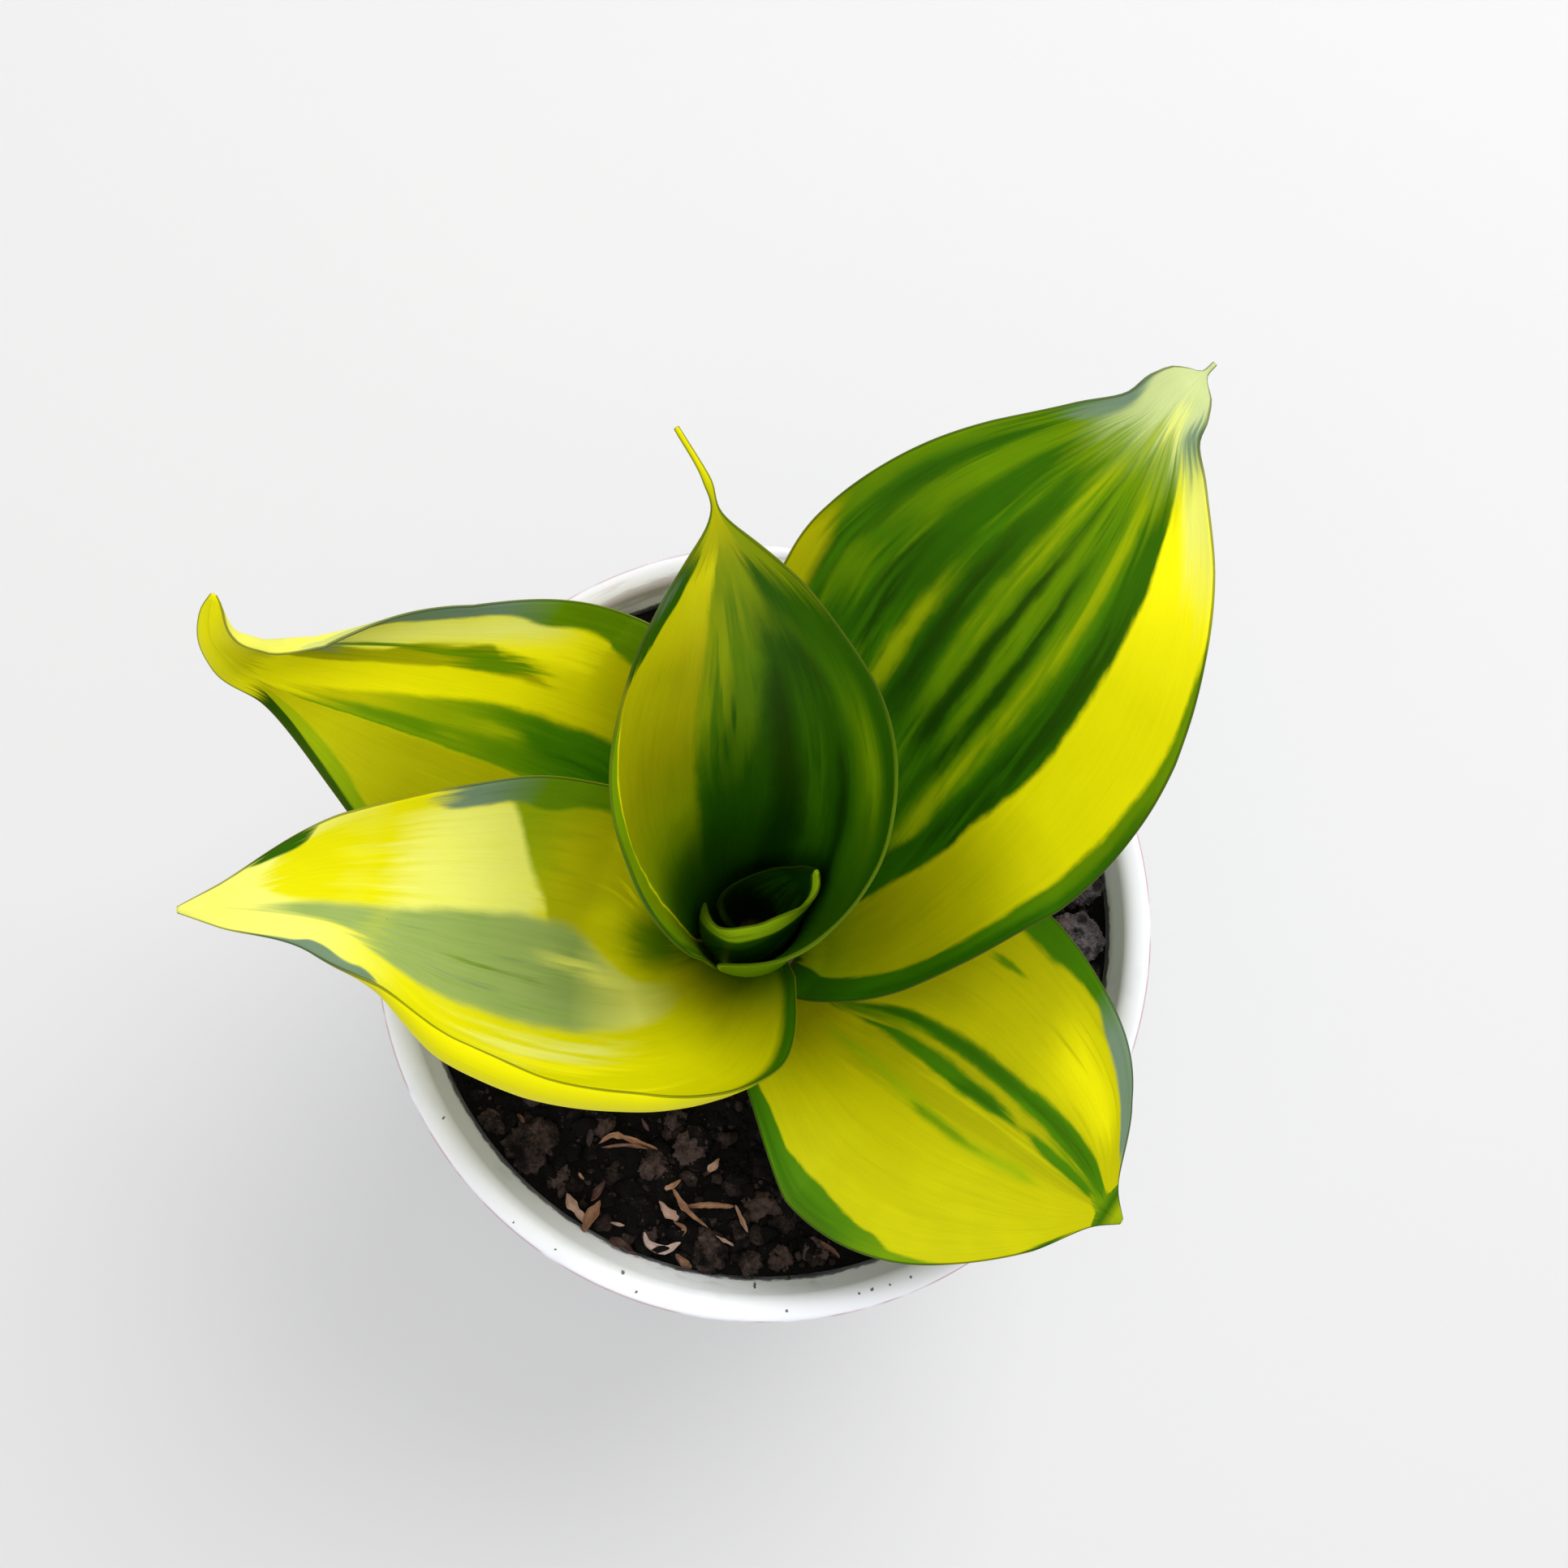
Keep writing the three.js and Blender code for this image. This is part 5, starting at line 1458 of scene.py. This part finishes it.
UPPER_LEFT_STRIPES = [
    stripe([(0, "deep"), (0.2, "moss"), (0.34, "gold"), (0.5, "yellow"), (1, "yellow")], 0.05, WHOLE),
    # Painted shade: the left half, below the fold, is a duller and darker yellow.
    stripe([(0.3, "brass"), (0.6, "brass"), (0.8, "gold")], 0.03, [(0.2, 0, 1.3), (0.7, 0, 1.3),
        (0.84, 0.02, 1.3)], (0, 0.03)),
    stripe([(0.2, "deep"), (0.36, "green"), (0.5, "moss"), (0.62, "olive"), (0.7, "gold")], 0.03,
        [(0.1, -0.5, 0.1), (0.3, -0.33, 0.02), (0.4, -0.32, 0), (0.5, -0.32, 0), (0.56, -0.31, 0),
        (0.66, -0.24, 0), (0.8, -0.1, 0)], (0, 0.08)),
    stripe("green", 0.05, [(0.2, -0.32, -0.02), (0.4, -0.3, -0.14), (0.54, -0.3, -0.2)], (0.05, 0.12),
        0.44),
    stripe("deep", 0.05, [(0.2, -0.26, -0.02), (0.36, -0.2, -0.04), (0.46, -0.16, -0.06)], (0.05, 0.12),
        0.4),
    stripe("olive", 0.03, [(0.44, -0.22, -0.14), (0.6, -0.22, -0.14)], (0.05, 0.1), 0.4),
    stripe("moss", 0.03, [(0.48, -0.14, -0.03), (0.64, -0.12, -0.02), (0.78, -0.07, -0.01)], (0.1, 0.1),
        0.36),
    stripe("bright", 0.06, [(0.4, -0.88, -0.56), (0.5, -0.88, -0.6), (0.7, -0.92, -0.56),
        (0.84, -0.9, -0.4)], (0.06, 0.06)),
    # Painted sheen: the pale band along the right margin.
    stripe("pale", 0.08, [(0.46, -0.86, -0.74), (0.54, -0.9, -0.72), (0.64, -0.9, -0.68),
        (0.72, -0.9, -0.6), (0.8, -0.86, -0.62)], (0.06, 0.03)),
    stripe("brass", 0.02, [(0.45, -0.5, -0.47), (0.5, -0.54, -0.48), (0.54, -0.6, -0.49),
        (0.565, -0.68, -0.5), (0.6, -0.66, -0.51), (0.64, -0.67, -0.48), (0.7, -0.58, -0.46),
        (0.76, -0.62, -0.43), (0.84, -0.66, -0.44)], (0.005, 0.02)),
    stripe("moss", 0.03, [(0.46, -0.56, -0.48), (0.6, -0.68, -0.5), (0.8, -0.66, -0.44)], (0.02, 0.03),
        0.5),
    stripe("slate", 0.04, [(0.73, -0.7, -0.52), (0.78, -0.7, -0.54), (0.85, -0.7, -0.5)], (0.04, 0.03),
        0.46),
    stripe("moss", 0.03, [(0.84, -0.64, -0.46), (0.9, -0.6, -0.48)], (0.02, 0.02)),
    stripe([(0.4, "moss"), (0.5, "moss"), (0.58, "slate")], 0.02, [(0.3, -1.3, -0.7),
        (0.4, -1.3, -0.78), (0.45, -1.3, -0.84), (0.5, -1.3, -0.82), (0.55, -1.3, -0.88),
        (0.6, -1.3, -0.91), (0.66, -1.3, -0.88), (0.72, -1.3, -0.92), (0.8, -1.3, -0.92),
        (0.86, -1.3, -1)], (0, 0.02)),
    # Painted shade: the thin line along the fold.
    stripe("moss", 0.014, [(0.36, -0.02, 0), (0.6, -0.022, 0), (0.8, -0.02, 0.004)], (0.1, 0.06)),
    stripe([(0.6, "moss"), (0.76, "olive"), (0.84, "brass")], 0.04, [(0.5, 0.95, 1.3),
        (0.62, 0.84, 1.3), (0.7, 0.6, 1.3), (0.76, 0.42, 1.3), (0.82, 0.2, 1.3)], (0.04, 0.02)),
    stripe("black", 0.03, [(0.45, 0.98, 1.3), (0.6, 0.95, 1.3), (0.7, 0.88, 1.3), (0.76, 0.74, 1.3),
        (0.82, 0.4, 1.3)], (0.04, 0.01)),
    stripe([(0.84, "gold"), (0.94, "yellow")], 0.1, [(0.84, -0.6, 1.3), (0.9, -1.3, 1.3),
        (1, -1.3, 1.3)], (0.03, 0)),
]
LOWER_RIGHT_STRIPES = [
    stripe([(0, "moss"), (0.1, "brass"), (0.3, "gold"), (1, "gold")], 0.05, WHOLE),
    stripe("yellow", 0.16, [(0.6, 0.46, 0.8), (0.74, 0.46, 0.78), (0.88, 0.5, 0.72)], (0.1, 0.05), 0.4),
    # Painted shade: the left part near the foot, under the leaves above it, is a darker yellow.
    stripe("brass", 0.08, [(0.1, 0.3, 1.3), (0.3, 0.3, 1.3), (0.5, 0.3, 1.3)], (0, 0.14)),
    stripe("brass", 0.06, [(0.2, -0.16, 0.24), (0.6, -0.1, 0.3), (0.96, -0.06, 0.4)], (0.1, 0), 0.36),
    stripe("olive", 0.04, [(0.15, -0.05, 0.02), (0.35, -0.08, -0.02), (0.5, -0.14, -0.08),
        (0.6, -0.18, -0.12), (0.75, -0.19, -0.08), (0.8, -0.17, -0.1)], (0.1, 0.06), 0.3),
    stripe("moss", 0.03, [(0.45, -0.12, -0.08), (0.54, -0.15, -0.11), (0.64, -0.17, -0.14)],
        (0.04, 0.06), 0.42),
    stripe("green", 0.02, [(0.12, 0.21, 0.25), (0.2, 0.21, 0.25), (0.3, 0.22, 0.27), (0.4, 0.21, 0.28),
        (0.5, 0.21, 0.29), (0.6, 0.2, 0.3), (0.7, 0.2, 0.33), (0.8, 0.19, 0.36), (0.86, 0.18, 0.38),
        (0.94, 0.12, 0.42)], (0.04, 0.02)),
    stripe("green", 0.02, [(0.12, 0.15, 0.2), (0.2, 0.16, 0.2), (0.3, 0.13, 0.18), (0.4, 0.1, 0.17),
        (0.5, 0.07, 0.16), (0.58, 0.06, 0.15), (0.64, 0.09, 0.14), (0.69, 0.1, 0.12)], (0.04, 0.02),
        0.3),
    stripe("green", 0.02, [(0.68, 0.1, 0.13), (0.76, 0.06, 0.14), (0.86, 0.05, 0.15),
        (0.92, 0.04, 0.16)], (0.03, 0.02)),
    stripe("deep", 0.04, [(0.2, 0.2, 0.26), (0.5, 0.22, 0.28), (0.9, 0.2, 0.34)], (0.05, 0.04), 0.44),
    stripe("deep", 0.03, [(0.5, 0.08, 0.14), (0.6, 0.07, 0.14), (0.66, 0.1, 0.13)], (0.05, 0.04), 0.44),
    stripe("moss", 0.03, [(0.14, 0.18, 0.24), (0.3, 0.19, 0.22), (0.4, 0.18, 0.21)], (0.05, 0.04),
        0.34),
    stripe("moss", 0.03, [(0.7, 0.15, 0.2), (0.85, 0.14, 0.2), (0.94, 0.12, 0.2)], (0.1, 0.02), 0.36),
    stripe("moss", 0.014, [(0.43, 0.68, 0.7), (0.47, 0.67, 0.71), (0.5, 0.68, 0.71), (0.54, 0.7, 0.71)],
        (0.02, 0.02)),
    stripe([(0.4, "moss"), (0.5, "green"), (0.66, "green"), (0.73, "slate")], 0.02, [(0.3, 0.97, 1.3),
        (0.45, 0.86, 1.3), (0.55, 0.85, 1.3), (0.6, 0.89, 1.3), (0.67, 0.91, 1.3), (0.72, 0.86, 1.3),
        (0.8, 0.83, 1.3), (0.87, 0.82, 1.3), (0.92, 0.96, 1.3)], (0.08, 0.01)),
    stripe([(0.1, "deep"), (0.3, "green"), (0.5, "green"), (0.6, "moss")], 0.014, [(0, -1.3, -0.74),
        (0.12, -1.3, -0.84), (0.2, -1.3, -0.88), (0.24, -1.3, -0.86), (0.3, -1.3, -0.86),
        (0.34, -1.3, -0.82), (0.38, -1.3, -0.8), (0.42, -1.3, -0.79), (0.47, -1.3, -0.82),
        (0.52, -1.3, -0.85), (0.56, -1.3, -0.87), (0.6, -1.3, -0.93), (0.66, -1.3, -0.97),
        (0.74, -1.3, -1.02)], (0, 0.02)),
    stripe("deep", 0.04, [(0.2, -1.3, -0.95), (0.4, -1.3, -0.9), (0.55, -1.3, -0.95)], (0.05, 0.06),
        0.4),
    stripe("deep", 0.03, [(0.83, -1.3, -0.99), (0.86, -1.3, -0.93), (0.91, -1.3, -0.94)], (0.02, 0.02)),
    stripe([(0.93, "moss"), (0.955, "deep"), (0.98, "olive")], 0.06, [(0.91, 0, 0.36),
        (0.935, -0.3, 0.5), (0.955, -1.3, 1.3), (1, -1.3, 1.3)], (0.01, 0)),
]

# Label, CAD node, stations, thickness at the middle, waves at the margin, stripes, the under face's
# colour and how strongly it shows.
LEAVES = [
    # The young leaf's near black under face is painted shade inside its roll.
    ("young", "leaf_young_rolled", YOUNG_LEAF, 1.4, 0.1, YOUNG_STRIPES, "black", 0.1),
    ("funnel", "leaf_centre_funnel", FUNNEL_LEAF, 1.9, 0.25, FUNNEL_STRIPES, "lime", 0.35),
    ("lower_left", "leaf_lower_left", LOWER_LEFT_LEAF, 1.9, 0.3, LOWER_LEFT_STRIPES, "yellow", 0.85),
    ("right", "leaf_right", RIGHT_LEAF, 1.9, 0.3, RIGHT_STRIPES, "grey", 0.3),
    ("upper_left", "leaf_upper_left", UPPER_LEFT_LEAF, 1.9, 0.25, UPPER_LEFT_STRIPES, "pale", 0.6),
    ("lower_right", "leaf_lower_right", LOWER_RIGHT_LEAF, 1.9, 0.3, LOWER_RIGHT_STRIPES, "grey", 0.3),
]

# Steps along a leaf and across half of it, and the least thickness and half width.
LEAF_ROWS = 144
LEAF_COLUMNS = 24
MARGIN_THICKNESS = 0.5
NARROWEST_HALF = 0.4


def values_at(stations, share):
    """The values between stations, on a smooth curve through them."""
    last = len(stations) - 1

    def rise(a, b, column):
        return (stations[b][column] - stations[a][column]) / (stations[b][0] - stations[a][0])

    def slope(i, column):
        if i == 0:
            return rise(0, 1, column)
        if i == last:
            return rise(last - 1, last, column)
        weight = (stations[i + 1][0] - stations[i][0]) / (stations[i + 1][0] - stations[i - 1][0])
        return rise(i - 1, i, column) * weight + rise(i, i + 1, column) * (1 - weight)

    i = 0
    while i < last - 1 and share > stations[i + 1][0]:
        i += 1
    span = stations[i + 1][0] - stations[i][0]
    u = (share - stations[i][0]) / span
    values = []
    for column in range(1, len(stations[0])):
        start = (2 * u**3 - 3 * u**2 + 1) * stations[i][column]
        end = (3 * u**2 - 2 * u**3) * stations[i + 1][column]
        leaving = (u**3 - 2 * u**2 + u) * span * slope(i, column)
        entering = (u**3 - u**2) * span * slope(i + 1, column)
        values.append(start + end + leaving + entering)
    return values


def leaf_row(stations, share):
    """A row of the leaf's middle surface from the left margin to the right, and its two widths."""
    values = values_at(stations, share)
    middle = Vector(values[0:3])
    before = Vector(values_at(stations, max(share - 0.001, 0))[0:3])
    after = Vector(values_at(stations, min(share + 0.001, 1))[0:3])
    tangent = (after - before).normalized()
    lean = math.radians(values[3])
    across = Vector((-math.sin(lean), math.cos(lean), 0))
    across = (across - tangent * across.dot(tangent)).normalized()
    upward = tangent.cross(across)

    def half(side, width, cup, curl):
        points = []
        spot = middle.copy()
        for k in range(LEAF_COLUMNS):
            u = (k + 0.5) / LEAF_COLUMNS
            turn = math.radians(cup * u + curl * u**4)
            step = max(width, NARROWEST_HALF) / LEAF_COLUMNS
            spot = spot + across * (side * math.cos(turn) * step) + upward * (math.sin(turn) * step)
            points.append(spot)
        return points

    left = half(1, values[4], values[6], values[8])
    right = half(-1, values[5], values[7], values[9])
    widths = (max(values[4], NARROWEST_HALF), max(values[5], NARROWEST_HALF))
    return [*reversed(left), middle, *right], widths


def leaf_mesh(name, stations, middle_thickness, wave, seed):
    """A leaf's closed mesh: two faces, rounded margins, low ribs along it and a waved margin."""
    rows = []
    widths = []
    for i in range(LEAF_ROWS + 1):
        row, pair = leaf_row(stations, i / LEAF_ROWS)
        rows.append(row)
        widths.append(pair)
    wide = 2 * LEAF_COLUMNS + 1
    travelled = [0.0]
    for i in range(LEAF_ROWS):
        step = rows[i + 1][LEAF_COLUMNS] - rows[i][LEAF_COLUMNS]
        travelled.append(travelled[-1] + step.length)
    corners = []
    places = []
    reaches = []
    for i, row in enumerate(rows):
        after = rows[min(i + 1, LEAF_ROWS)]
        before = rows[max(i - 1, 0)]
        share = i / LEAF_ROWS
        upper = []
        lower = []
        for j in range(wide):
            over = row[max(j - 1, 0)] - row[min(j + 1, wide - 1)]
            normal = (after[j] - before[j]).cross(over).normalized()
            v = (LEAF_COLUMNS - j) / LEAF_COLUMNS
            width = widths[i][0] if v > 0 else widths[i][1]
            # A narrow part of the leaf is thinner and has lower waves, and its foot has none.
            thickness = middle_thickness + (MARGIN_THICKNESS - middle_thickness) * v * v
            thickness *= min(1, 0.35 + 0.13 * width)
            grain = Vector((v * width * 0.33, travelled[i] * 0.035, seed))
            swell = noise.noise(Vector((math.copysign(2, v), travelled[i] * 0.09, seed)))
            ripple = wave * abs(v) ** 5 * swell
            ripple *= min(1, width / 12) * min(1, share / 0.15)
            rib = 0.09 * noise.noise(grain) * (1 - v**6)
            upper.append(row[j] + normal * (thickness / 2 + ripple + rib))
            lower.append(row[j] - normal * (thickness / 2 - ripple + rib))
        ring = []
        marks = []
        for j in range(wide):
            v = (LEAF_COLUMNS - j) / LEAF_COLUMNS
            ring.append(upper[j])
            marks.append((v, 1))
        ring += round_margin(upper[-1], lower[-1], upper[-2])
        marks += [(-1, 1), (-1, 0.5), (-1, 0)]
        for j in reversed(range(wide)):
            v = (LEAF_COLUMNS - j) / LEAF_COLUMNS
            ring.append(lower[j])
            marks.append((v, 0))
        ring += round_margin(lower[0], upper[0], lower[1])
        marks += [(1, 0), (1, 0.5), (1, 1)]
        corners += [corner * MM for corner in ring]
        for v, face in marks:
            width = widths[i][0] if v > 0 else widths[i][1]
            places.append((share, v, face))
            reaches.append((v * width, travelled[i], (1 - abs(v)) * width))
    around = 2 * wide + 6
    faces = []
    for i in range(LEAF_ROWS):
        for k in range(around):
            a = i * around + k
            b = i * around + (k + 1) % around
            faces.append((a, b, b + around, a + around))
    for start, turned in ((0, True), (LEAF_ROWS * around, False)):
        for face in end_faces(wide):
            face = [start + index for index in face]
            faces.append(face[::-1] if turned else face)
    made = add_object(name, corners, faces)
    add_numbers(made, "leaf_place", "FLOAT_VECTOR", places)
    add_numbers(made, "leaf_reach", "FLOAT_VECTOR", reaches)
    return made


def round_margin(first, second, inner):
    """Three corners that round a margin from one face over to the other."""
    middle = (first + second) / 2
    out = first - inner
    if out.length < 1e-6:
        out = Vector((0, 0, 1e-3))
    out = out.normalized() * (first - second).length * 0.36
    rim = []
    for turn in (45, 90, 135):
        angle = math.radians(turn)
        rim.append(middle + (first - middle) * math.cos(angle) + out * math.sin(angle))
    return rim


def end_faces(wide):
    """The faces that close a leaf's tip, as places in its last ring. Its foot takes them reversed."""

    def low(j):
        return 2 * wide + 2 - j

    faces = [(j, j + 1, low(j + 1), low(j)) for j in range(wide - 1)]
    faces.append(tuple(range(wide - 1, wide + 4)))
    faces.append((2 * wide + 2, 2 * wide + 3, 2 * wide + 4, 2 * wide + 5, 0))
    return faces


def leaf_finish(name, settings, stripes, under, difference, seed):
    """A waxy leaf with stripes along it that fray into each other, and a thin dark margin."""
    finish = Finish(name, Roughness=0.4, Specular_IOR_Level=0.3, Specular_Tint=(0.8, 0.85, 0.1))
    share, across, face = finish.parts(finish.attribute("leaf_place"))
    out, along, from_margin = finish.parts(finish.attribute("leaf_reach"))
    fine = finish.grain(finish.vector(across * 62, along * 0.06, seed), 1, 3.0, 0.6)
    fibre = finish.grain(finish.vector(across * 24, along * 0.05, seed + 2), 1, 2.0, 0.55)
    fray = finish.grain(finish.vector(across * 12, along * 0.16, seed + 5), 1, 4.0, 0.6)
    cloud = finish.grain(finish.vector(out * 0.1, along * 0.07, seed + 9), 1, 2.0)
    shifted = across + (fray - 0.5) * 0.045 + (fibre - 0.5) * 0.015
    where = share + (fibre - 0.5) * 0.09 + (fray - 0.5) * 0.04
    shade = None
    for number, (tone, softness, lines, fade, streaks) in enumerate(stripes):
        if isinstance(tone, str):
            paint = tuple(getattr(settings, tone))
        else:
            paint = finish.ramp(share, [(at, tuple(getattr(settings, key))) for at, key in tone])
        if shade is None:
            shade = paint
            continue
        mask = None
        if lines is not WHOLE:
            right = finish.line(share, [(at, low) for at, low, high in lines])
            left = finish.line(share, [(at, high) for at, low, high in lines])
            mask = finish.smooth(shifted - right, -softness, softness)
            mask = mask * finish.smooth(left - shifted, -softness, softness)
            start = lines[0][0]
            end = lines[-1][0]
            if start > 0:
                mask = mask * finish.smooth(where, start - 0.01, start + 0.01 + fade[0])
            if end < 1:
                mask = mask * (1 - finish.smooth(where, end - 0.01 - fade[1], end + 0.01))
        if streaks:
            own = finish.grain(finish.vector(across * 17, along * 0.034, seed + 1.7 * number), 1, 2.5, 0.55)
            broken = finish.smooth(own, streaks - 0.1, streaks + 0.1)
            mask = mask * broken if mask else broken
        shade = finish.mix(mask, shade, paint)
    # Fibres a little lighter and darker, and the under face.
    shade = finish.mix(finish.smooth(fine, 0.5, 0.76) * 0.09, shade, (1, 1, 0.02), "SOFT_LIGHT")
    shade = finish.mix(finish.smooth(1 - fine, 0.5, 0.76) * 0.15, shade, (0.06, 0.12, 0.01), "SOFT_LIGHT")
    shade = finish.mix(finish.smooth(fibre, 0.48, 0.7) * 0.16, shade, (0.2, 0.3, 0.02), "SOFT_LIGHT")
    shade = finish.mix(finish.smooth(cloud, 0.5, 0.75) * 0.16, shade, (0.9, 0.95, 0.05), "SOFT_LIGHT")
    shade = finish.mix(finish.smooth(1 - cloud, 0.5, 0.75) * 0.14, shade, (0.1, 0.2, 0.01), "SOFT_LIGHT")
    shade = finish.mix((1 - face) * difference, shade, tuple(getattr(settings, under)))
    rim = 1 - finish.smooth(from_margin + (fray - 0.5) * 0.25, 0.02, 0.2)
    shade = finish.mix(rim * 0.7, shade, tuple(settings.edge))
    speck = finish.grain(finish.vector(out, along, seed + 3), 0.9, 2.0, 0.6)
    shade = finish.mix(finish.smooth(speck, 0.8, 0.83) * 0.8, shade, srgb(80, 70, 10))
    finish.feed("Base Color", shade)
    finish.feed("Roughness", 0.36 + cloud * 0.12 + fibre * 0.08 + (1 - face) * 0.1)
    finish.bump(fine * 0.6 + fray * 0.4, 0.12, 0.6)
    return finish.material


class PLANT_OT_leaves(bpy.types.Operator):
    """Makes the six striped leaves"""

    bl_idname = "plant.leaves"
    bl_label = "Leaves"

    def execute(self, context):
        settings = context.scene.plant_leaf
        for number, leaf in enumerate(LEAVES):
            label, node, stations, thickness, wave, stripes, under, difference = leaf
            name = "leaf_blade_" + label
            rib_seed = 7.3 * number
            skin_seed = 3.1 * number
            made = leaf_mesh(name, stations, thickness, wave, rib_seed)
            finish = leaf_finish(name + "_skin", settings, stripes, under, difference, skin_seed)
            settle(made, finish, "leaf", node)
        return {"FINISHED"}


# The stage.

# The lights: name, width and place in metres, and strength as a share of the key light's.
LIGHTS = [
    ("key_light", 0.9, (0.5, 0.7, 1.15), 1),
    ("fill_light", 1.4, (-0.9, -0.7, 1.2), 0.12),
    ("top_light", 1.0, (0, -0.05, 1.3), 0.14),
]

# The spot at the height of the rim that the camera looks at.
CAMERA_AIM = (3.66, 26.51, POT_TOP)

# Half the floor's width, in metres.
FLOOR_REACH = 6


def add_light(name, width, energy, place):
    """A round light that shines on the middle of the rim."""
    light = bpy.data.lights.new(name, "AREA")
    light.shape = "DISK"
    light.size = width
    light.energy = energy
    made = bpy.data.objects.new(name, light)
    made.location = place
    beam = Vector((0, 0, POT_TOP * MM)) - Vector(place)
    made.rotation_euler = beam.to_track_quat("-Z", "Y").to_euler()
    bpy.context.scene.collection.objects.link(made)


def add_floor(settings):
    """A wide pale floor, which belongs to the stage."""
    far = FLOOR_REACH
    corners = [(-far, -far, 0), (far, -far, 0), (far, far, 0), (-far, far, 0)]
    floor = add_object("floor", corners, [(0, 1, 2, 3)])
    finish = Finish("floor_paper", Roughness=0.9, Specular_IOR_Level=0.2)
    fleck = finish.grain(finish.place(), 6, 2.0)
    finish.feed("Base Color", finish.mix(fleck * 0.08, tuple(settings.floor), srgb(203, 203, 205)))
    floor.data.materials.append(finish.material)


def add_camera(settings):
    """The camera over the middle of the pot, turned so that the back of the pot is up."""
    camera = bpy.data.cameras.new("camera")
    camera.sensor_fit = "HORIZONTAL"
    camera.sensor_width = 36
    camera.lens = settings.focal_length
    made = bpy.data.objects.new("camera", camera)
    bpy.context.scene.collection.objects.link(made)
    place = Vector((0, 0, settings.camera_height))
    forward = (Vector(CAMERA_AIM) * MM - place).normalized()
    right = forward.cross(Vector((0, 1, 0))).normalized()
    up = right.cross(forward)
    turn = Matrix((right, up, -forward)).transposed()
    made.matrix_world = Matrix.Translation(place) @ turn.to_4x4()
    bpy.context.scene.camera = made


class PLANT_OT_stage(bpy.types.Operator):
    """Makes the camera over the pot, the soft lights and the pale floor"""

    bl_idname = "plant.stage"
    bl_label = "Stage"

    def execute(self, context):
        settings = context.scene.plant_stage
        scene = context.scene
        world = bpy.data.worlds.new("studio")
        world.use_nodes = True
        background = world.node_tree.nodes["Background"]
        background.inputs["Color"].default_value = (1, 1, 1, 1)
        background.inputs["Strength"].default_value = settings.sky
        scene.world = world
        scene.view_settings.view_transform = "Standard"
        add_floor(settings)
        for name, width, place, share in LIGHTS:
            add_light(name, width, settings.key * share, place)
        add_camera(settings)
        return {"FINISHED"}


class PLANT_PT_panel(bpy.types.Panel):
    """The settings and the buttons that make each piece"""

    bl_idname = "PLANT_PT_panel"
    bl_label = "Snake Plant"
    bl_space_type = "VIEW_3D"
    bl_region_type = "UI"
    bl_category = "Snake Plant"

    def draw(self, context):
        layout = self.layout
        for title, name, operators in PANEL_ROWS:
            box = layout.box()
            box.label(text=title)
            settings = getattr(context.scene, name)
            for key in type(settings).__annotations__:
                box.prop(settings, key)
            for operator in operators:
                box.operator(operator)


PANEL_ROWS = [
    ("Pot", "plant_pot", ["plant.pot"]),
    ("Potting mix", "plant_soil", ["plant.soil", "plant.chunks"]),
    ("Leaves", "plant_leaf", ["plant.crown", "plant.leaves"]),
    ("Stage", "plant_stage", ["plant.stage"]),
]
SETTINGS = {
    "plant_pot": PotSettings,
    "plant_soil": SoilSettings,
    "plant_leaf": LeafSettings,
    "plant_stage": StageSettings,
}
CLASSES = [
    *SETTINGS.values(),
    PLANT_OT_stage,
    PLANT_OT_pot,
    PLANT_OT_soil,
    PLANT_OT_chunks,
    PLANT_OT_crown,
    PLANT_OT_leaves,
    PLANT_PT_panel,
]


def register():
    for kind in CLASSES:
        bpy.utils.register_class(kind)
    for name, kind in SETTINGS.items():
        setattr(bpy.types.Scene, name, PointerProperty(type=kind))


def unregister():
    for name in SETTINGS:
        delattr(bpy.types.Scene, name)
    for kind in reversed(CLASSES):
        bpy.utils.unregister_class(kind)


def main():
    register()
    bpy.ops.plant.stage()
    bpy.ops.plant.pot()
    bpy.ops.plant.soil()
    bpy.ops.plant.chunks()
    bpy.ops.plant.crown()
    bpy.ops.plant.leaves()


if __name__ == "__main__":
    main()
